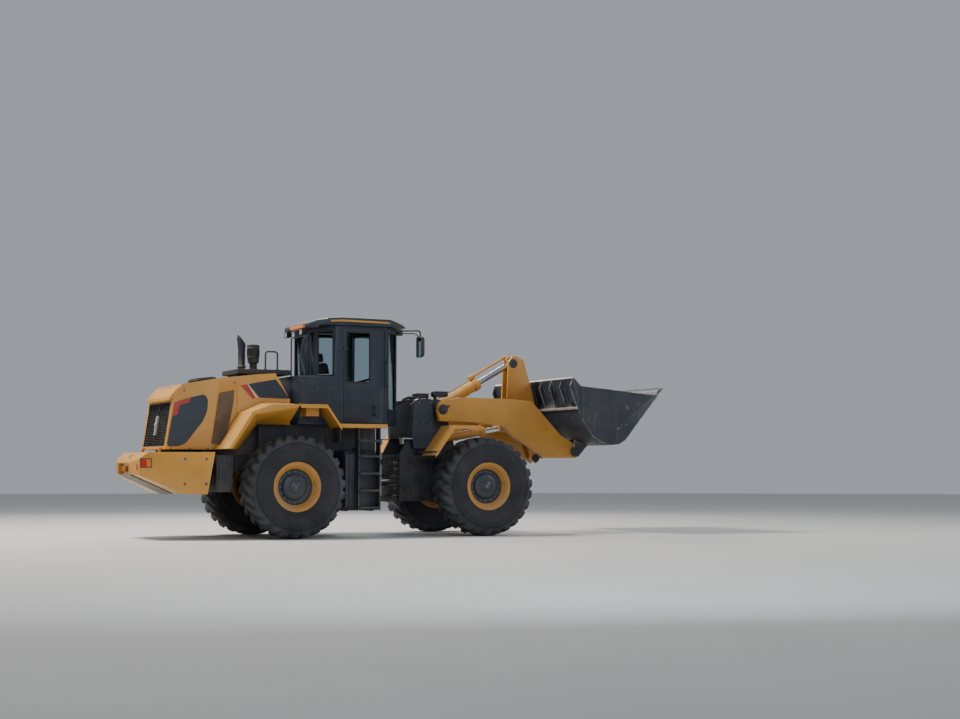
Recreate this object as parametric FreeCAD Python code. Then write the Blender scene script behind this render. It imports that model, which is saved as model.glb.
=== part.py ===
import FreeCAD, Part
import math
import os

# Wheel loader with a hinged frame, a Z-bar arm and a bucket of about 3 cubic metres.
# Millimetres. X points forward, Y to the machine's left and Z up. While the solids are
# made, X 0 is the frame's hinge pin; at the end all are moved to the middle of the length.

# Running gear
wheelBase = 3300.0
track = 2150.0
tyreRadius = 808.0
tyreWidth = 597.0
lugDepth = 42.0
rimFlangeRadius = 390.0
rimSeatRadius = 345.0
rimRingInner = 283.0
rimRingDepth = 75.0
wheelSides = 20
lugCount = 26
lugShare = 0.66
lugLead = 0.16
lugWall = 0.012
barSides = 10
bossSides = 12
railSides = 6
rimFaceOffset = 237.0
hubFaceOffset = 150.0
hubInnerOffset = 190.0
axleTubeRadius = 135.0
axleBowlRadius = 265.0
axlePadY = 340.0
seatGap = 0.3

# Frame hinge and steering
plateThickness = 40.0
pinRadius = 50.0
pinClearance = 0.05
sideGap = 5.0
lugRadius = 135.0
tongueThickness = 90.0
upperHingeZ = 1210.0
lowerHingeZ = 600.0
frameTop = 1300.0
frameBottom = 560.0
axleSeatZ = 1040.0
rearFrameY = 340.0
neckY = 220.0
neckRearX = -850.0
neckFrontX = -330.0
rearAxleX = -wheelBase / 2
batteryTyreGap = 132.0
batteryLength = 260.0
weightBatteryGap = 80.0
batteryFrontX = rearAxleX - tyreRadius - batteryTyreGap
batteryRearX = batteryFrontX - batteryLength
weightFrontX = batteryRearX - weightBatteryGap
frameRearX = weightFrontX - 120
frontFrameY = 380.0
frontWallX = 450.0
frontNoseX = 2150.0
steerBase = (-600.0, 450.0)
steerEye = (330.0, 340.0)
steerZ = 905.0
steerBarrelRadius = 55.0
steerRodRadius = 28.0
steerPinRadius = 25.0
steerBarrelLength = 630.0
steerRodLength = 590.0

# Arm pivots in side view, given as (X, Z)
boomPivot = (1130.0, 2080.0)
bucketPivot = (3620.0, 1400.0)
crankPivot = (2893.0, 2090.0)
crankTop = (2700.0, 2920.0)
crankFoot = (3135.0, 1283.0)
bucketTopPin = (3350.0, 1680.0)
tiltBase = (1160.0, 2050.0)
liftBase = (1100.0, 1581.0)
liftEye = (2360.0, 1800.0)
crossTube = (2690.0, 1830.0)
crossTubeRadius = 100.0
armY = 600.0
armThickness = 90.0
liftY = 477.0
liftBarrelRadius = 70.0
liftRodRadius = 40.0
liftBarrelLength = 880.0
liftRodLength = 930.0
tiltBarrelRadius = 95.0
tiltRodRadius = 48.0
tiltBarrelLength = 1050.0
tiltRodLength = 884.0
tiltPinRadius = 45.0
levelBarUp = 150.0
levelBarLength = 820.0
levelBarRadius = 16.0
crankPlateY = 100.0
linkWidth = 140.0
linkPinRadius = 40.0

# Bucket
bucketHalfWidth = 1488.0
bucketPlate = 25.0
rollBackDeg = 50.0

# Cab
cabHalfWidth = 780.0
cabRearX = -1450.0
cabBackX = -1083.0
cabBackY = 500.0
cabSideX = -830.0
cabFrontX = 360.0
cabCornerX = 60.0
cabNoseY = 480.0
cabFloorZ = 1800.0
cabHeight = 1600.0
cabTopZ = cabFloorZ + cabHeight
eaveZ = cabTopZ - 90
cabWall = 60.0
doorRearX = -690.0
doorFrontX = 20.0
doorBottomZ = 1830.0
doorTopZ = cabTopZ - 50
doorWindowX = (-640.0, -230.0)
doorWindowZ = (2490.0, doorTopZ - 50)
doorGap = 6.0
doorSwingGap = 10.0
doorHinge = (-688.0, cabHalfWidth + 18)
glassThickness = 8.0
roofHalfWidth = cabHalfWidth + 70

# Hood, fenders and tail
hoodRearHalf = 715.0
hoodOverhang = 540.0
hoodRearX = frameRearX - hoodOverhang
hoodPlanRearX = hoodRearX - 210
hoodPlanFrontX = -1400.0
hoodFrontHalf = 800.0
hoodWall = 30.0
panelThickness = 6.0
hoodHinge = (hoodRearX - 32, 1402.0)
hingeKnuckle = 22.0
deckHalfWidth = 420.0
deckRearX = -2350.0
deckZ = 2600.0
deckThickness = 80.0
fenderOuterY = 1300.0
platformInnerY = 600.0
fenderPlate = 14.0
weightHalfWidth = 1200.0
weightOverhang = 465.0
weightRearX = hoodRearX - weightOverhang
towPinRadius = 25.0
hitchLowZ = 1045.0
hitchHighZ = 1135.0

shapes = {}


def V(x, y, z):
    return FreeCAD.Vector(x, y, z)


def box(x0, x1, y0, y1, z0, z1):
    return Part.makeBox(x1 - x0, y1 - y0, z1 - z0, V(x0, y0, z0))


def closedFace(points):
    return Part.Face(Part.makePolygon(points + [points[0]]))


def sidePrism(points, y0, y1):
    """Side-view outline (x, z) from y0 to y1."""
    return closedFace([V(x, y0, z) for x, z in points]).extrude(V(0, y1 - y0, 0))


def planPrism(points, z0, z1):
    """Plan outline (x, y) from z0 to z1."""
    return closedFace([V(x, y, z0) for x, y in points]).extrude(V(0, 0, z1 - z0))


def crossPrism(points, x0, x1):
    """Cross-section outline (y, z) from x0 to x1."""
    return closedFace([V(x0, y, z) for y, z in points]).extrude(V(x1 - x0, 0, 0))


def rod(p0, p1, radius, sides=barSides):
    """Many-sided bar whose corners lie on the radius."""
    a, b = V(*p0), V(*p1)
    along = (b - a).normalize()
    out = V(0, 0, 1) if abs(along.z) < 0.9 else V(1, 0, 0)
    u = along.cross(out).normalize()
    v = along.cross(u)
    turns = [2 * math.pi * (i + 0.5) / sides for i in range(sides)]
    return closedFace([a + (u * math.cos(t) + v * math.sin(t)) * radius for t in turns]).extrude(b - a)


def pin(p0, p1, radius):
    """Round pin, for what turns on it or slides along it."""
    a, b = V(*p0), V(*p1)
    return Part.makeCylinder(radius, (b - a).Length, a, b - a)


def crossPin(at, y0, y1, radius):
    return pin((at[0], y0, at[1]), (at[0], y1, at[1]), radius)


def postPin(at, z0, z1, radius):
    return pin((at[0], at[1], z0), (at[0], at[1], z1), radius)


def hole(p0, p1, radius, sides=barSides):
    """Many-sided cutter whose flats lie on the radius, so that a round pin of it turns inside."""
    return rod(p0, p1, radius / math.cos(math.pi / sides), sides)


def crossRod(at, y0, y1, radius, sides=barSides):
    """Bar across the machine at a side-view point (x, z)."""
    return rod((at[0], y0, at[1]), (at[0], y1, at[1]), radius, sides)


def crossHole(at, y0, y1, radius, sides=barSides):
    return hole((at[0], y0, at[1]), (at[0], y1, at[1]), radius, sides)


def post(at, z0, z1, radius, sides=barSides):
    """Upright bar at a plan point (x, y)."""
    return rod((at[0], at[1], z0), (at[0], at[1], z1), radius, sides)


def postHole(at, z0, z1, radius, sides=barSides):
    return hole((at[0], at[1], z0), (at[0], at[1], z1), radius, sides)


def closedSolid(faces):
    shell = Part.makeShell(faces)
    shell.sewShape()
    solid = Part.makeSolid(shell if shell.ShapeType == "Shell" else shell.Shells[0])
    if solid.Volume < 0:
        solid.reverse()
    return solid


def skinned(*rows):
    """Solid skinned with flat triangles over rows of as many points each."""
    faces = [closedFace(list(rows[0])), closedFace(list(rows[-1]))]
    for near, far in zip(rows, rows[1:]):
        for i in range(len(near)):
            j = (i + 1) % len(near)
            faces += [closedFace([near[i], near[j], far[j]]), closedFace([near[i], far[j], far[i]])]
    return closedSolid(faces)


def fuse(*solids):
    out = solids[0]
    if len(solids) > 1:
        out = out.multiFuse(list(solids[1:]))
    return out.removeSplitter()


def mirrored(shape):
    return shape.mirror(V(0, 0, 0), V(0, 1, 0))


def both(*solids):
    return Part.makeCompound(list(solids) + [mirrored(s) for s in solids])


def group(*solids):
    return Part.makeCompound(list(solids))


def bar(points, radius, bend, sides=railSides):
    """Tube along straight runs, with each corner cut off at the bend's size and mitred."""
    pts = [V(*p) for p in points]
    path = [pts[0]]
    for a, b, c in zip(pts, pts[1:], pts[2:]):
        path += [b + (a - b).normalize() * bend, b + (c - b).normalize() * bend]
    path.append(pts[-1])
    runs = [(q - p).normalize() for p, q in zip(path, path[1:])]
    u = runs[0].cross(V(0.31, 0.52, 0.79)).normalize()
    v = runs[0].cross(u)
    turns = [2 * math.pi * i / sides for i in range(sides)]
    rows = [[path[0] + (u * math.cos(t) + v * math.sin(t)) * radius for t in turns]]
    for i, corner in enumerate(path[1:]):
        along = runs[i]
        normal = (along + runs[min(i + 1, len(runs) - 1)]).normalize()
        rows.append([p + along * ((corner - p).dot(normal) / along.dot(normal)) for p in rows[-1]])
    faces = [closedFace(rows[0]), closedFace(rows[-1])]
    for near, far in zip(rows, rows[1:]):
        for i in range(sides):
            j = (i + 1) % sides
            faces.append(closedFace([near[i], near[j], far[j], far[i]]))
    return closedSolid(faces)


def strip(a, b, halfWidth, y0, y1):
    """Bar with round ends between two side-view points."""
    dx, dz = b[0] - a[0], b[1] - a[1]
    length = math.hypot(dx, dz)
    ox, oz = -dz / length * halfWidth, dx / length * halfWidth
    flat = sidePrism([(a[0] + ox, a[1] + oz), (b[0] + ox, b[1] + oz),
                      (b[0] - ox, b[1] - oz), (a[0] - ox, a[1] - oz)], y0, y1)
    return fuse(flat, crossRod(a, y0, y1, halfWidth, bossSides), crossRod(b, y0, y1, halfWidth, bossSides))


def lerp(a, b, share):
    return tuple(p + (q - p) * share for p, q in zip(a, b))


def span(a, b):
    return math.hypot(b[0] - a[0], b[1] - a[1])


# Wheels: many-sided rings, so that both the rim and the tyre stay light

def ringSolid(profile, sides=wheelSides):
    """Many-sided solid of revolution about the Y axis from (radius, offset) points."""
    angles = [2 * math.pi * i / sides for i in range(sides + 1)]
    faces = []
    for (r0, o0), (r1, o1) in zip(profile, profile[1:] + profile[:1]):
        if r0 == 0 and r1 == 0:
            continue
        for t0, t1 in zip(angles, angles[1:]):
            loop = []
            for r, o, t in ((r0, o0, t0), (r1, o1, t0), (r1, o1, t1), (r0, o0, t1)):
                point = V(r * math.cos(t), o, r * math.sin(t))
                if not loop or (point - loop[-1]).Length > 0.001:
                    loop.append(point)
            if (loop[0] - loop[-1]).Length < 0.001:
                loop.pop()
            faces.append(closedFace(loop))
    return closedSolid(faces)


def stitched(outer, inner):
    """Triangles between two rings of (turn, point), each rising through one whole turn."""
    faces = []
    i = j = 0
    m, n = len(outer), len(inner)
    while i < m or j < n:
        outerTurn = outer[(i + 1) % m][0] + 2 * math.pi * ((i + 1) // m)
        innerTurn = inner[(j + 1) % n][0] + 2 * math.pi * ((j + 1) // n)
        if j == n or (i < m and outerTurn <= innerTurn):
            faces.append([outer[i % m][1], outer[(i + 1) % m][1], inner[j % n][1]])
            i += 1
        else:
            faces.append([inner[j % n][1], inner[(j + 1) % n][1], outer[i % m][1]])
            j += 1
    return faces


def onWheel(turn, radius, offset):
    return V(radius * math.cos(turn), offset, radius * math.sin(turn))


def makeTyre():
    """Carcass with closed V lugs, each one's middle ahead of its ends as the wheel rolls forward."""
    pitch = 2 * math.pi / lugCount
    firstTurn = -math.pi / 2 - lugWall + lugLead
    rows = []
    for offset, low, high in treadRows:
        lead = -lugLead * (1 - abs(offset) / treadRows[1][0])
        row = []
        for i in range(lugCount):
            start = firstTurn + i * pitch + lead
            end = start + lugShare * pitch
            for turn, radius in ((start, low), (start + lugWall, high), (end - lugWall, high), (end, low)):
                row.append((turn, onWheel(turn, radius, offset)))
        rows.append(row)
    faces = []
    for near, far in zip(rows, rows[1:]):
        for i in range(len(near)):
            j = (i + 1) % len(near)
            faces += [[near[i][1], near[j][1], far[j][1]], [near[i][1], far[j][1], far[i][1]]]
    side = 2 * math.pi / wheelSides
    for row, hand in ((rows[0], 1), (rows[-1], -1)):
        first = round(row[0][0] / side)
        turns = [side * (first + i) for i in range(wheelSides)]
        rings = [[(t, onWheel(t, radius, hand * offset)) for t in turns] for radius, offset in tyreSide]
        faces += stitched(row, rings[0])
        for outer, inner in zip(rings, rings[1:]):
            for i in range(wheelSides):
                j = (i + 1) % wheelSides
                faces.append([outer[i][1], outer[j][1], inner[j][1], inner[i][1]])
    for i in range(wheelSides):
        near, far = [[onWheel(side * k, tyreSide[-1][0], hand * beadOffset) for k in (i, i + 1)]
                     for hand in (1, -1)]
        faces.append([near[0], near[1], far[1], far[0]])
    return closedSolid([closedFace(face) for face in faces])


rimLip = 14.0
rimPoints = [(0, -hubInnerOffset), (rimRingInner, -hubInnerOffset), (rimRingInner, -rimFaceOffset - rimLip),
             (rimFlangeRadius, -rimFaceOffset - rimLip), (rimFlangeRadius, -rimFaceOffset),
             (rimSeatRadius, -rimFaceOffset), (rimSeatRadius, rimFaceOffset), (rimFlangeRadius, rimFaceOffset),
             (rimFlangeRadius, rimFaceOffset + rimLip), (rimRingInner, rimFaceOffset - rimRingDepth),
             (rimRingInner, 110), (200, 110), (200, hubFaceOffset), (0, hubFaceOffset + 20)]
tyreHalf = tyreWidth / 2
beadOffset = rimFaceOffset - seatGap
treadRadius = tyreRadius - lugDepth
tyreSide = [(600, tyreHalf), (400, beadOffset), (rimSeatRadius + seatGap, beadOffset)]

# Across the tread from shoulder to shoulder: offset, radius between the lugs, radius on the lugs
treadHalf = [(tyreHalf - 2, 700, 700), (tyreHalf - 34, treadRadius - 30, tyreRadius - 18)]
treadRows = treadHalf + [(0, treadRadius, tyreRadius)]
treadRows += [(-o, low, high) for o, low, high in reversed(treadHalf)]

rim = ringSolid(rimPoints)
tyre = makeTyre()
for end, x in (("rear", rearAxleX), ("front", wheelBase / 2)):
    for hand, side in (("left", 1), ("right", -1)):
        for name, shape in (("rim", rim), ("tyre", tyre)):
            placed = shape.copy() if side > 0 else mirrored(shape)
            placed.translate(V(x, side * track / 2, tyreRadius))
            shapes[name + "_" + end + "_" + hand] = placed


def makeAxle(x, padTop):
    end = track / 2 - hubInnerOffset - seatGap
    half = [(0, end), (axleTubeRadius + 25, end), (axleTubeRadius + 25, end - 150), (axleTubeRadius, end - 170),
            (axleTubeRadius, 240), (axleBowlRadius, 90)]
    housing = ringSolid(half + [(r, -o) for r, o in reversed(half)], bossSides)
    housing.translate(V(x, 0, tyreRadius))
    nose = rod((x, 0, tyreRadius), (x + 272 * (1 if x < 0 else -1), 0, tyreRadius), 120, bossSides)
    pads = [box(x - 120, x + 120, s * axlePadY - 70, s * axlePadY + 70, tyreRadius, padTop) for s in (1, -1)]
    return fuse(housing, nose, *pads)


shapes["rear_axle"] = makeAxle(rearAxleX, axleSeatZ - seatGap)
shapes["front_axle"] = makeAxle(wheelBase / 2, axleSeatZ - seatGap)


# Rear frame with the fork of the frame hinge

def makeRearFrame():
    rail = [(frameRearX, 900), (-2300, axleSeatZ), (-1050, axleSeatZ), (neckRearX, frameBottom),
            (neckRearX, frameTop), (frameRearX, frameTop)]
    parts = []
    for s in (1, -1):
        y = s * (rearFrameY - plateThickness / 2)
        parts.append(sidePrism(rail, y - plateThickness / 2, y + plateThickness / 2))
        y = s * (neckY - plateThickness / 2)
        parts.append(box(neckRearX - plateThickness, neckFrontX, y - plateThickness / 2, y + plateThickness / 2,
                         frameBottom, frameTop))
    for x, z0 in ((frameRearX, 900), (-2300, axleSeatZ), (neckRearX - plateThickness, frameBottom)):
        parts.append(box(x, x + plateThickness, -rearFrameY, rearFrameY, z0, frameTop))
    parts.append(box(neckFrontX - plateThickness, neckFrontX, -neckY, neckY, frameBottom, frameTop))
    for z in (upperHingeZ, lowerHingeZ):
        inner = tongueThickness / 2 + sideGap
        for z0 in (z + inner, z - inner - plateThickness):
            ear = planPrism([(neckFrontX - plateThickness, -neckY), (0, -lugRadius), (0, lugRadius),
                             (neckFrontX - plateThickness, neckY)], z0, z0 + plateThickness)
            parts += [ear, post((0, 0), z0, z0 + plateThickness, lugRadius, bossSides)]
        reach = inner + plateThickness / 2
        parts.append(postPin((0, 0), z - reach, z + reach, pinRadius))
    for s in (1, -1):
        for z0 in (steerZ - 85, steerZ + 60):
            x, y = steerBase
            parts.append(planPrism([(x - 70, s * (neckY - 20)), (x - 70, s * (y + 60)), (x + 60, s * (y + 60)),
                                    (x + 60, s * (neckY - 20))], z0, z0 + 25))
        parts.append(postPin((steerBase[0], s * steerBase[1]), steerZ - 72, steerZ + 72, steerPinRadius))
    for x in (-1250, -480):
        y = rearFrameY if x < neckRearX else neckY
        for s in (1, -1):
            parts.append(box(x - 50, x + 50, min(s * y, s * (y - 80)), max(s * y, s * (y - 80)),
                             frameTop - 60, cabFloorZ))
    return fuse(*parts)


shapes["rear_frame"] = makeRearFrame()

# Tail weight, cast in one piece

weightCornerX = weightRearX + 60
weightSide = [(weightFrontX, 1345), (frameRearX + 20, 700), (frameRearX - 300, 705), (weightRearX, 1020),
              (weightRearX, 1190), (weightRearX + 195, 1345)]
weightPlan = [(weightFrontX + 30, -weightHalfWidth), (weightFrontX + 30, weightHalfWidth), (weightCornerX, 725),
              (weightRearX, 390), (weightRearX, -390), (weightCornerX, -725)]
weight = sidePrism(weightSide, -weightHalfWidth, weightHalfWidth).common(planPrism(weightPlan, 600, 1400))
weight = weight.cut(box(frameRearX, weightFrontX + 80, -rearFrameY, rearFrameY, 600, 1400))
towPinX = weightRearX + 125
hitchSlot = box(weightRearX - 45, towPinX + 110, -110, 110, hitchLowZ, hitchHighZ)
hitchMouth = sidePrism([(weightRearX - 45, 965), (weightCornerX - 5, 1010), (weightCornerX - 5, 1175),
                        (weightRearX - 45, 1185)], -345, 345)
weight = weight.cut(hitchSlot).cut(hitchMouth)
weight = weight.cut(Part.makeCylinder(towPinRadius + 1, 700, V(towPinX, 0, 800)))
pinSeatZ = 1250.0
weight = weight.cut(postHole((towPinX, 0), pinSeatZ, 1400, 52))
knuckleY = (475.0, 500.0, 530.0, 555.0)
hingeEars = []
for s in (1, -1):
    y0, y1 = sorted((s * knuckleY[1], s * knuckleY[2]))
    hx, hz = hoodHinge
    hingeEars += [box(hx - hingeKnuckle, hx + hingeKnuckle, y0, y1, 1340, hz),
                  crossRod(hoodHinge, y0, y1, hingeKnuckle),
                  crossRod(hoodHinge, s * knuckleY[0], s * knuckleY[3], 10)]
shapes["counterweight"] = fuse(weight, *hingeEars)
shapes["tow_pin"] = fuse(Part.makeCylinder(towPinRadius, pinSeatZ - 985, V(towPinX, 0, 985)),
                         post((towPinX, 0), pinSeatZ + seatGap, pinSeatZ + 25, 45))

# Power train: engine block, gearbox and the cooler stack behind the grille

engineRearX = hoodRearX + 690
shapes["engine"] = group(box(engineRearX, -1900, -360, 360, frameTop + seatGap, 2250 - seatGap),
                         box(-1370, neckRearX - plateThickness - seatGap, -250, 250, 760, 1290))
shapes["cooler"] = box(hoodRearX + 190, hoodRearX + 440, -560, 560, 1345 + seatGap, 2080)

# Engine deck with its intake and exhaust

deck = fuse(box(deckRearX, cabRearX, -deckHalfWidth, deckHalfWidth, deckZ, deckZ + deckThickness),
            box(-2300, -1950, -280, 280, 2250, deckZ))
shapes["engine_deck"] = deck
deckTop = deckZ + deckThickness
stackAt = (-2085, 220)
stack = post(stackAt, deckTop + seatGap, 3310, 75, bossSides)
stack = stack.cut(post(stackAt, deckTop + 40, 3320, 68, bossSides))
stack = stack.cut(sidePrism([(-2165, 3300), (-1990, 3085), (-1990, 3340), (-2165, 3340)], 100, 340))
shapes["exhaust_stack"] = stack
cleanerAt = (-2035, -240)
cleanerRings = [(deckTop + seatGap, 2780, 62), (2780, 3020, 92), (2860, 2885, 108), (3020, 3085, 105)]
shapes["air_precleaner"] = fuse(*[post(cleanerAt, z0, z1, r, bossSides) for z0, z1, r in cleanerRings])


# Hood: a thin shell, open below and in front, hinged low at the tail

def hoodForm(inset):
    side = [(hoodRearX + inset, 1390 if inset == 0 else 1300), (hoodRearX + 120 + inset, 2190),
            (hoodRearX + 250 + inset * 0.7, 2400 - inset * 0.7),
            (-2750, 2505 - inset), (-2200, 2570 - inset), (-1840, 2600 - inset),
            (-1600 if inset == 0 else -1500, 2190), (-1600 if inset == 0 else -1500,
                                                     1790 if inset == 0 else 1300),
            (-2140, 1790 if inset == 0 else 1300), (-2440, 1390 if inset == 0 else 1300)]
    solid = sidePrism(side, -hoodFrontHalf, hoodFrontHalf)
    plan = [(hoodPlanRearX, -hoodRearHalf + inset), (hoodPlanFrontX, -hoodFrontHalf + inset),
            (hoodPlanFrontX, hoodFrontHalf - inset), (hoodPlanRearX, hoodRearHalf - inset)]
    return solid.common(planPrism(plan, 1200, 2700))


hood = hoodForm(0).cut(hoodForm(hoodWall))
hood = hood.cut(box(deckRearX - 50, -1400, -deckHalfWidth - 40, deckHalfWidth + 40, 2300, 2700))
flareInner = [(-2440, 1390), (-2140, 1790), (-1620, 1790), (-1620, 2130), (-2100, 2130), (-2450, 1970),
              (-2850, 1390)]
flareOuter = [(-2690, 1400), (-2330, 1930), (-1620, 2050), (-1620, 2090), (-2060, 2090), (-2370, 1970),
              (-2740, 1400)]
tailLip = [(hoodRearX + 60, 2150), (hoodRearX + 72, 2205), (hoodRearX + 205, 2352), (hoodRearX + 225, 2330),
           (hoodRearX + 140, 2190)]
hood = hood.fuse(sidePrism(tailLip, -hoodRearHalf + 12, hoodRearHalf - 12))
for s in (1, -1):
    sections = []
    for points, y in ((flareInner, 780), (flareOuter, 1280)):
        sections.append([V(x, s * y, z) for x, z in points])
    hood = hood.fuse(skinned(*sections))
for s in (1, -1):
    for y0, y1 in ((knuckleY[0], knuckleY[1] - 3), (knuckleY[2] + 3, knuckleY[3])):
        y0, y1 = sorted((s * y0, s * y1))
        hx, hz = hoodHinge
        knuckle = fuse(crossRod(hoodHinge, y0, y1, hingeKnuckle),
                       box(hx, hoodRearX + 15, y0, y1, hz - 12, hz + hingeKnuckle))
        hood = hood.fuse(knuckle.cut(crossHole(hoodHinge, y0 - 1, y1 + 1, 10 + pinClearance)))
grilleZ = (1440.0, 2130.0)
grilleHalf = 640.0
hood = hood.cut(box(hoodRearX - 110, hoodRearX + 170, -grilleHalf, grilleHalf, *grilleZ))
ventRearX = hoodRearX + 716
ventLine = [(ventRearX, 1468), (ventRearX + 226, 1453), (ventRearX + 358, 2116), (ventRearX + 369, 2330),
            (ventRearX + 121, 2278)]
for s in (1, -1):
    hood = hood.cut(sidePrism(ventLine, *sorted((s * 650, s * 900))))
shapes["hood"] = hood.removeSplitter()


def grilleFace(z):
    """X of the hood's tail face at a height."""
    return hoodRearX + 120 * (z - 1390) / 800


def makeGrille():
    parts = []
    z0, z1 = grilleZ[0] + seatGap, grilleZ[1] - seatGap
    w = grilleHalf - seatGap
    rail = [(grilleFace(z0) + 4, z0), (grilleFace(z1) + 4, z1), (grilleFace(z1) + 28, z1),
            (grilleFace(z0) + 28, z0)]
    for y in (-w, -20.0, w - 40):
        parts.append(sidePrism(rail, y, y + 40))
    slats = 8
    for i in range(slats):
        z = z0 + (z1 - z0 - 30) * i / (slats - 1)
        x = grilleFace(z)
        parts.append(sidePrism([(x + 4, z), (x + 26, z + 14), (x + 26, z + 30), (x + 4, z + 16)], -w, w))
    return fuse(*parts)


shapes["hood_grille"] = makeGrille()


def hoodSideY(x):
    share = (x - hoodPlanRearX) / (hoodPlanFrontX - hoodPlanRearX)
    return hoodRearHalf + (hoodFrontHalf - hoodRearHalf) * share


def sidePlate(points, depth, thickness, s):
    """Plate along the hood's side plane, its outer face a depth below the hood's skin."""
    face = closedFace([V(x, s * (hoodSideY(x) - depth - thickness), z) for x, z in points])
    return face.extrude(V(0, s * thickness, 0))


def shrunk(points, gap):
    """Outline (x, z) drawn in towards its middle by a gap."""
    cx = sum(x for x, z in points) / len(points)
    cz = sum(z for x, z in points) / len(points)
    return [(x - math.copysign(gap, x - cx), z - math.copysign(gap, z - cz)) for x, z in points]


shapes["hood_vents"] = group(*[sidePlate(shrunk(ventLine, seatGap), 8, 12, s) for s in (1, -1)])

# Dark panels that stand on the hood's sides, behind the vents and beside the cab
tailCorners = [(141, 2114), (390, 2195), (603, 2248), (665, 2174), (657, 1989), (591, 1836), (319, 1482),
               (217, 1439), (23, 1430)]
tailPanel = [(hoodRearX + x, z) for x, z in tailCorners]
frontPanel = [(-2285, 2420), (-1836, 2505), (-1603, 2200), (-2099, 2210)]
shapes["hood_panels"] = group(*[sidePlate(line, -panelThickness - seatGap, panelThickness, s)
                                for line in (tailPanel, frontPanel) for s in (1, -1)])

# Rear fenders, side platforms with their ladders, and the side tanks

def bentPlate(points, thickness, y0, y1):
    """Folded plate under a side-view line of points running rearward to forward."""
    lower = [(x, z - thickness) for x, z in points]
    return sidePrism(points + lower[::-1], y0, y1)


fenderLine = [(-1590, 2100), (-1150, 2100), (-905, 1750)]
fenderInnerY = cabHalfWidth + seatGap
fender = bentPlate(fenderLine, fenderPlate * 1.6, fenderInnerY, fenderOuterY)
fenderLip = bentPlate(fenderLine, 60, fenderOuterY - fenderPlate, fenderOuterY)
archPanel = box(-2050, -60, platformInnerY - 16, platformInnerY - 2, frameTop + 5, cabFloorZ - seatGap)
shapes["rear_fenders"] = both(fuse(fender, fenderLip), archPanel)

platformZ = cabFloorZ - seatGap
platform = box(-900, -110, platformInnerY, 1250, platformZ - 60, platformZ)
ladderX = (-620.0, -230.0)
ladderY = (1110.0, 1290.0)
rungs = [box(ladderX[0] + 30, ladderX[1] - 30, ladderY[0], ladderY[1], z, z + 25)
         for z in (470, 740, 1010, 1280, 1530)]
rails = [box(x, x + 30, ladderY[0], ladderY[1] - 40, 440, platformZ - 45)
         for x in (ladderX[0], ladderX[1] - 30)]
shapes["platforms"] = both(fuse(platform, *rungs, *rails))
tankBevel = 60.0
tank = crossPrism([(600, 430 + tankBevel), (600 + tankBevel, 430), (ladderY[0] - tankBevel, 430),
                   (ladderY[0], 430 + tankBevel), (ladderY[0], 1380 - tankBevel), (ladderY[0] - tankBevel, 1380),
                   (600, 1380)], -785, -225)
tankArms = [box(x, x + 60, neckY + seatGap, 605, 1100, 1160) for x in (-700, -400)]
batteryBox = box(batteryRearX, batteryFrontX, rearFrameY + seatGap, 1000, 730, 1300)
batteryBox = batteryBox.cut(box(batteryRearX + 30, batteryFrontX - 30, 960, 1010, 900, 1060))
shapes["side_tanks"] = both(fuse(tank, *tankArms))
shapes["battery_boxes"] = both(batteryBox)


# Cab: floor, pillars and walls as one welded shell, open at doors and windows

cabPlan = [(cabRearX, -cabHalfWidth), (cabCornerX, -cabHalfWidth), (cabFrontX, -cabNoseY),
           (cabFrontX, cabNoseY), (cabCornerX, cabHalfWidth), (cabRearX, cabHalfWidth)]
wall = cabWall
cabInner = [(cabRearX + wall, -cabHalfWidth + wall), (cabCornerX - wall / 3, -cabHalfWidth + wall),
            (cabFrontX - wall, -cabNoseY + wall / 3), (cabFrontX - wall, cabNoseY - wall / 3),
            (cabCornerX - wall / 3, cabHalfWidth - wall), (cabRearX + wall, cabHalfWidth - wall)]
windowBottomZ = 2580.0
windowTopZ = eaveZ
backWindowY = cabBackY - 45
backWindowZ = (windowBottomZ + 25, windowTopZ)
frontWindowZ = (2050.0, eaveZ)
upperPlan = [(cabBackX, -cabBackY), (cabSideX, -cabHalfWidth), (cabCornerX, -cabHalfWidth),
             (cabFrontX, -cabNoseY)]
upperPlan += [(x, -y) for x, y in reversed(upperPlan)]
upperInner = [(cabBackX + wall, -cabBackY + 0.386 * wall), (cabSideX + 0.444 * wall, -cabHalfWidth + wall),
              (cabCornerX - wall / 3, -cabHalfWidth + wall), (cabFrontX - wall, -cabNoseY + wall / 3)]
upperInner += [(x, -y) for x, y in reversed(upperInner)]
cab = fuse(planPrism(cabPlan, cabFloorZ, windowBottomZ), planPrism(upperPlan, windowBottomZ, cabTopZ))
cab = cab.cut(planPrism(cabInner, cabFloorZ + 90, windowBottomZ - 20))
cab = cab.cut(planPrism(upperInner, windowBottomZ - 30, cabTopZ + 10))
rearWindow = box(cabBackX - 10, cabBackX + wall + 10, -backWindowY, backWindowY, *backWindowZ)
noseWindow = box(cabFrontX - wall - 10, cabFrontX + 10, -cabNoseY + 55, cabNoseY - 55, *frontWindowZ)
frontCorner = ((cabCornerX, cabHalfWidth), (cabFrontX, cabNoseY))
rearCorner = ((cabBackX, cabBackY), (cabSideX, cabHalfWidth))


def cornerPane(corner, s, shares, depths, heights):
    """Slab in a slanted corner, between two shares of its length and two depths."""
    a, b = [V(x, s * y, 0) for x, y in corner]
    inward = V(-(b - a).y, (b - a).x, 0).normalize() * (-s)
    pts = [a + (b - a) * shares[i] + inward * depths[j] for i, j in ((0, 0), (1, 0), (1, 1), (0, 1))]
    return planPrism([(p.x, p.y) for p in pts], *heights)


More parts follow.
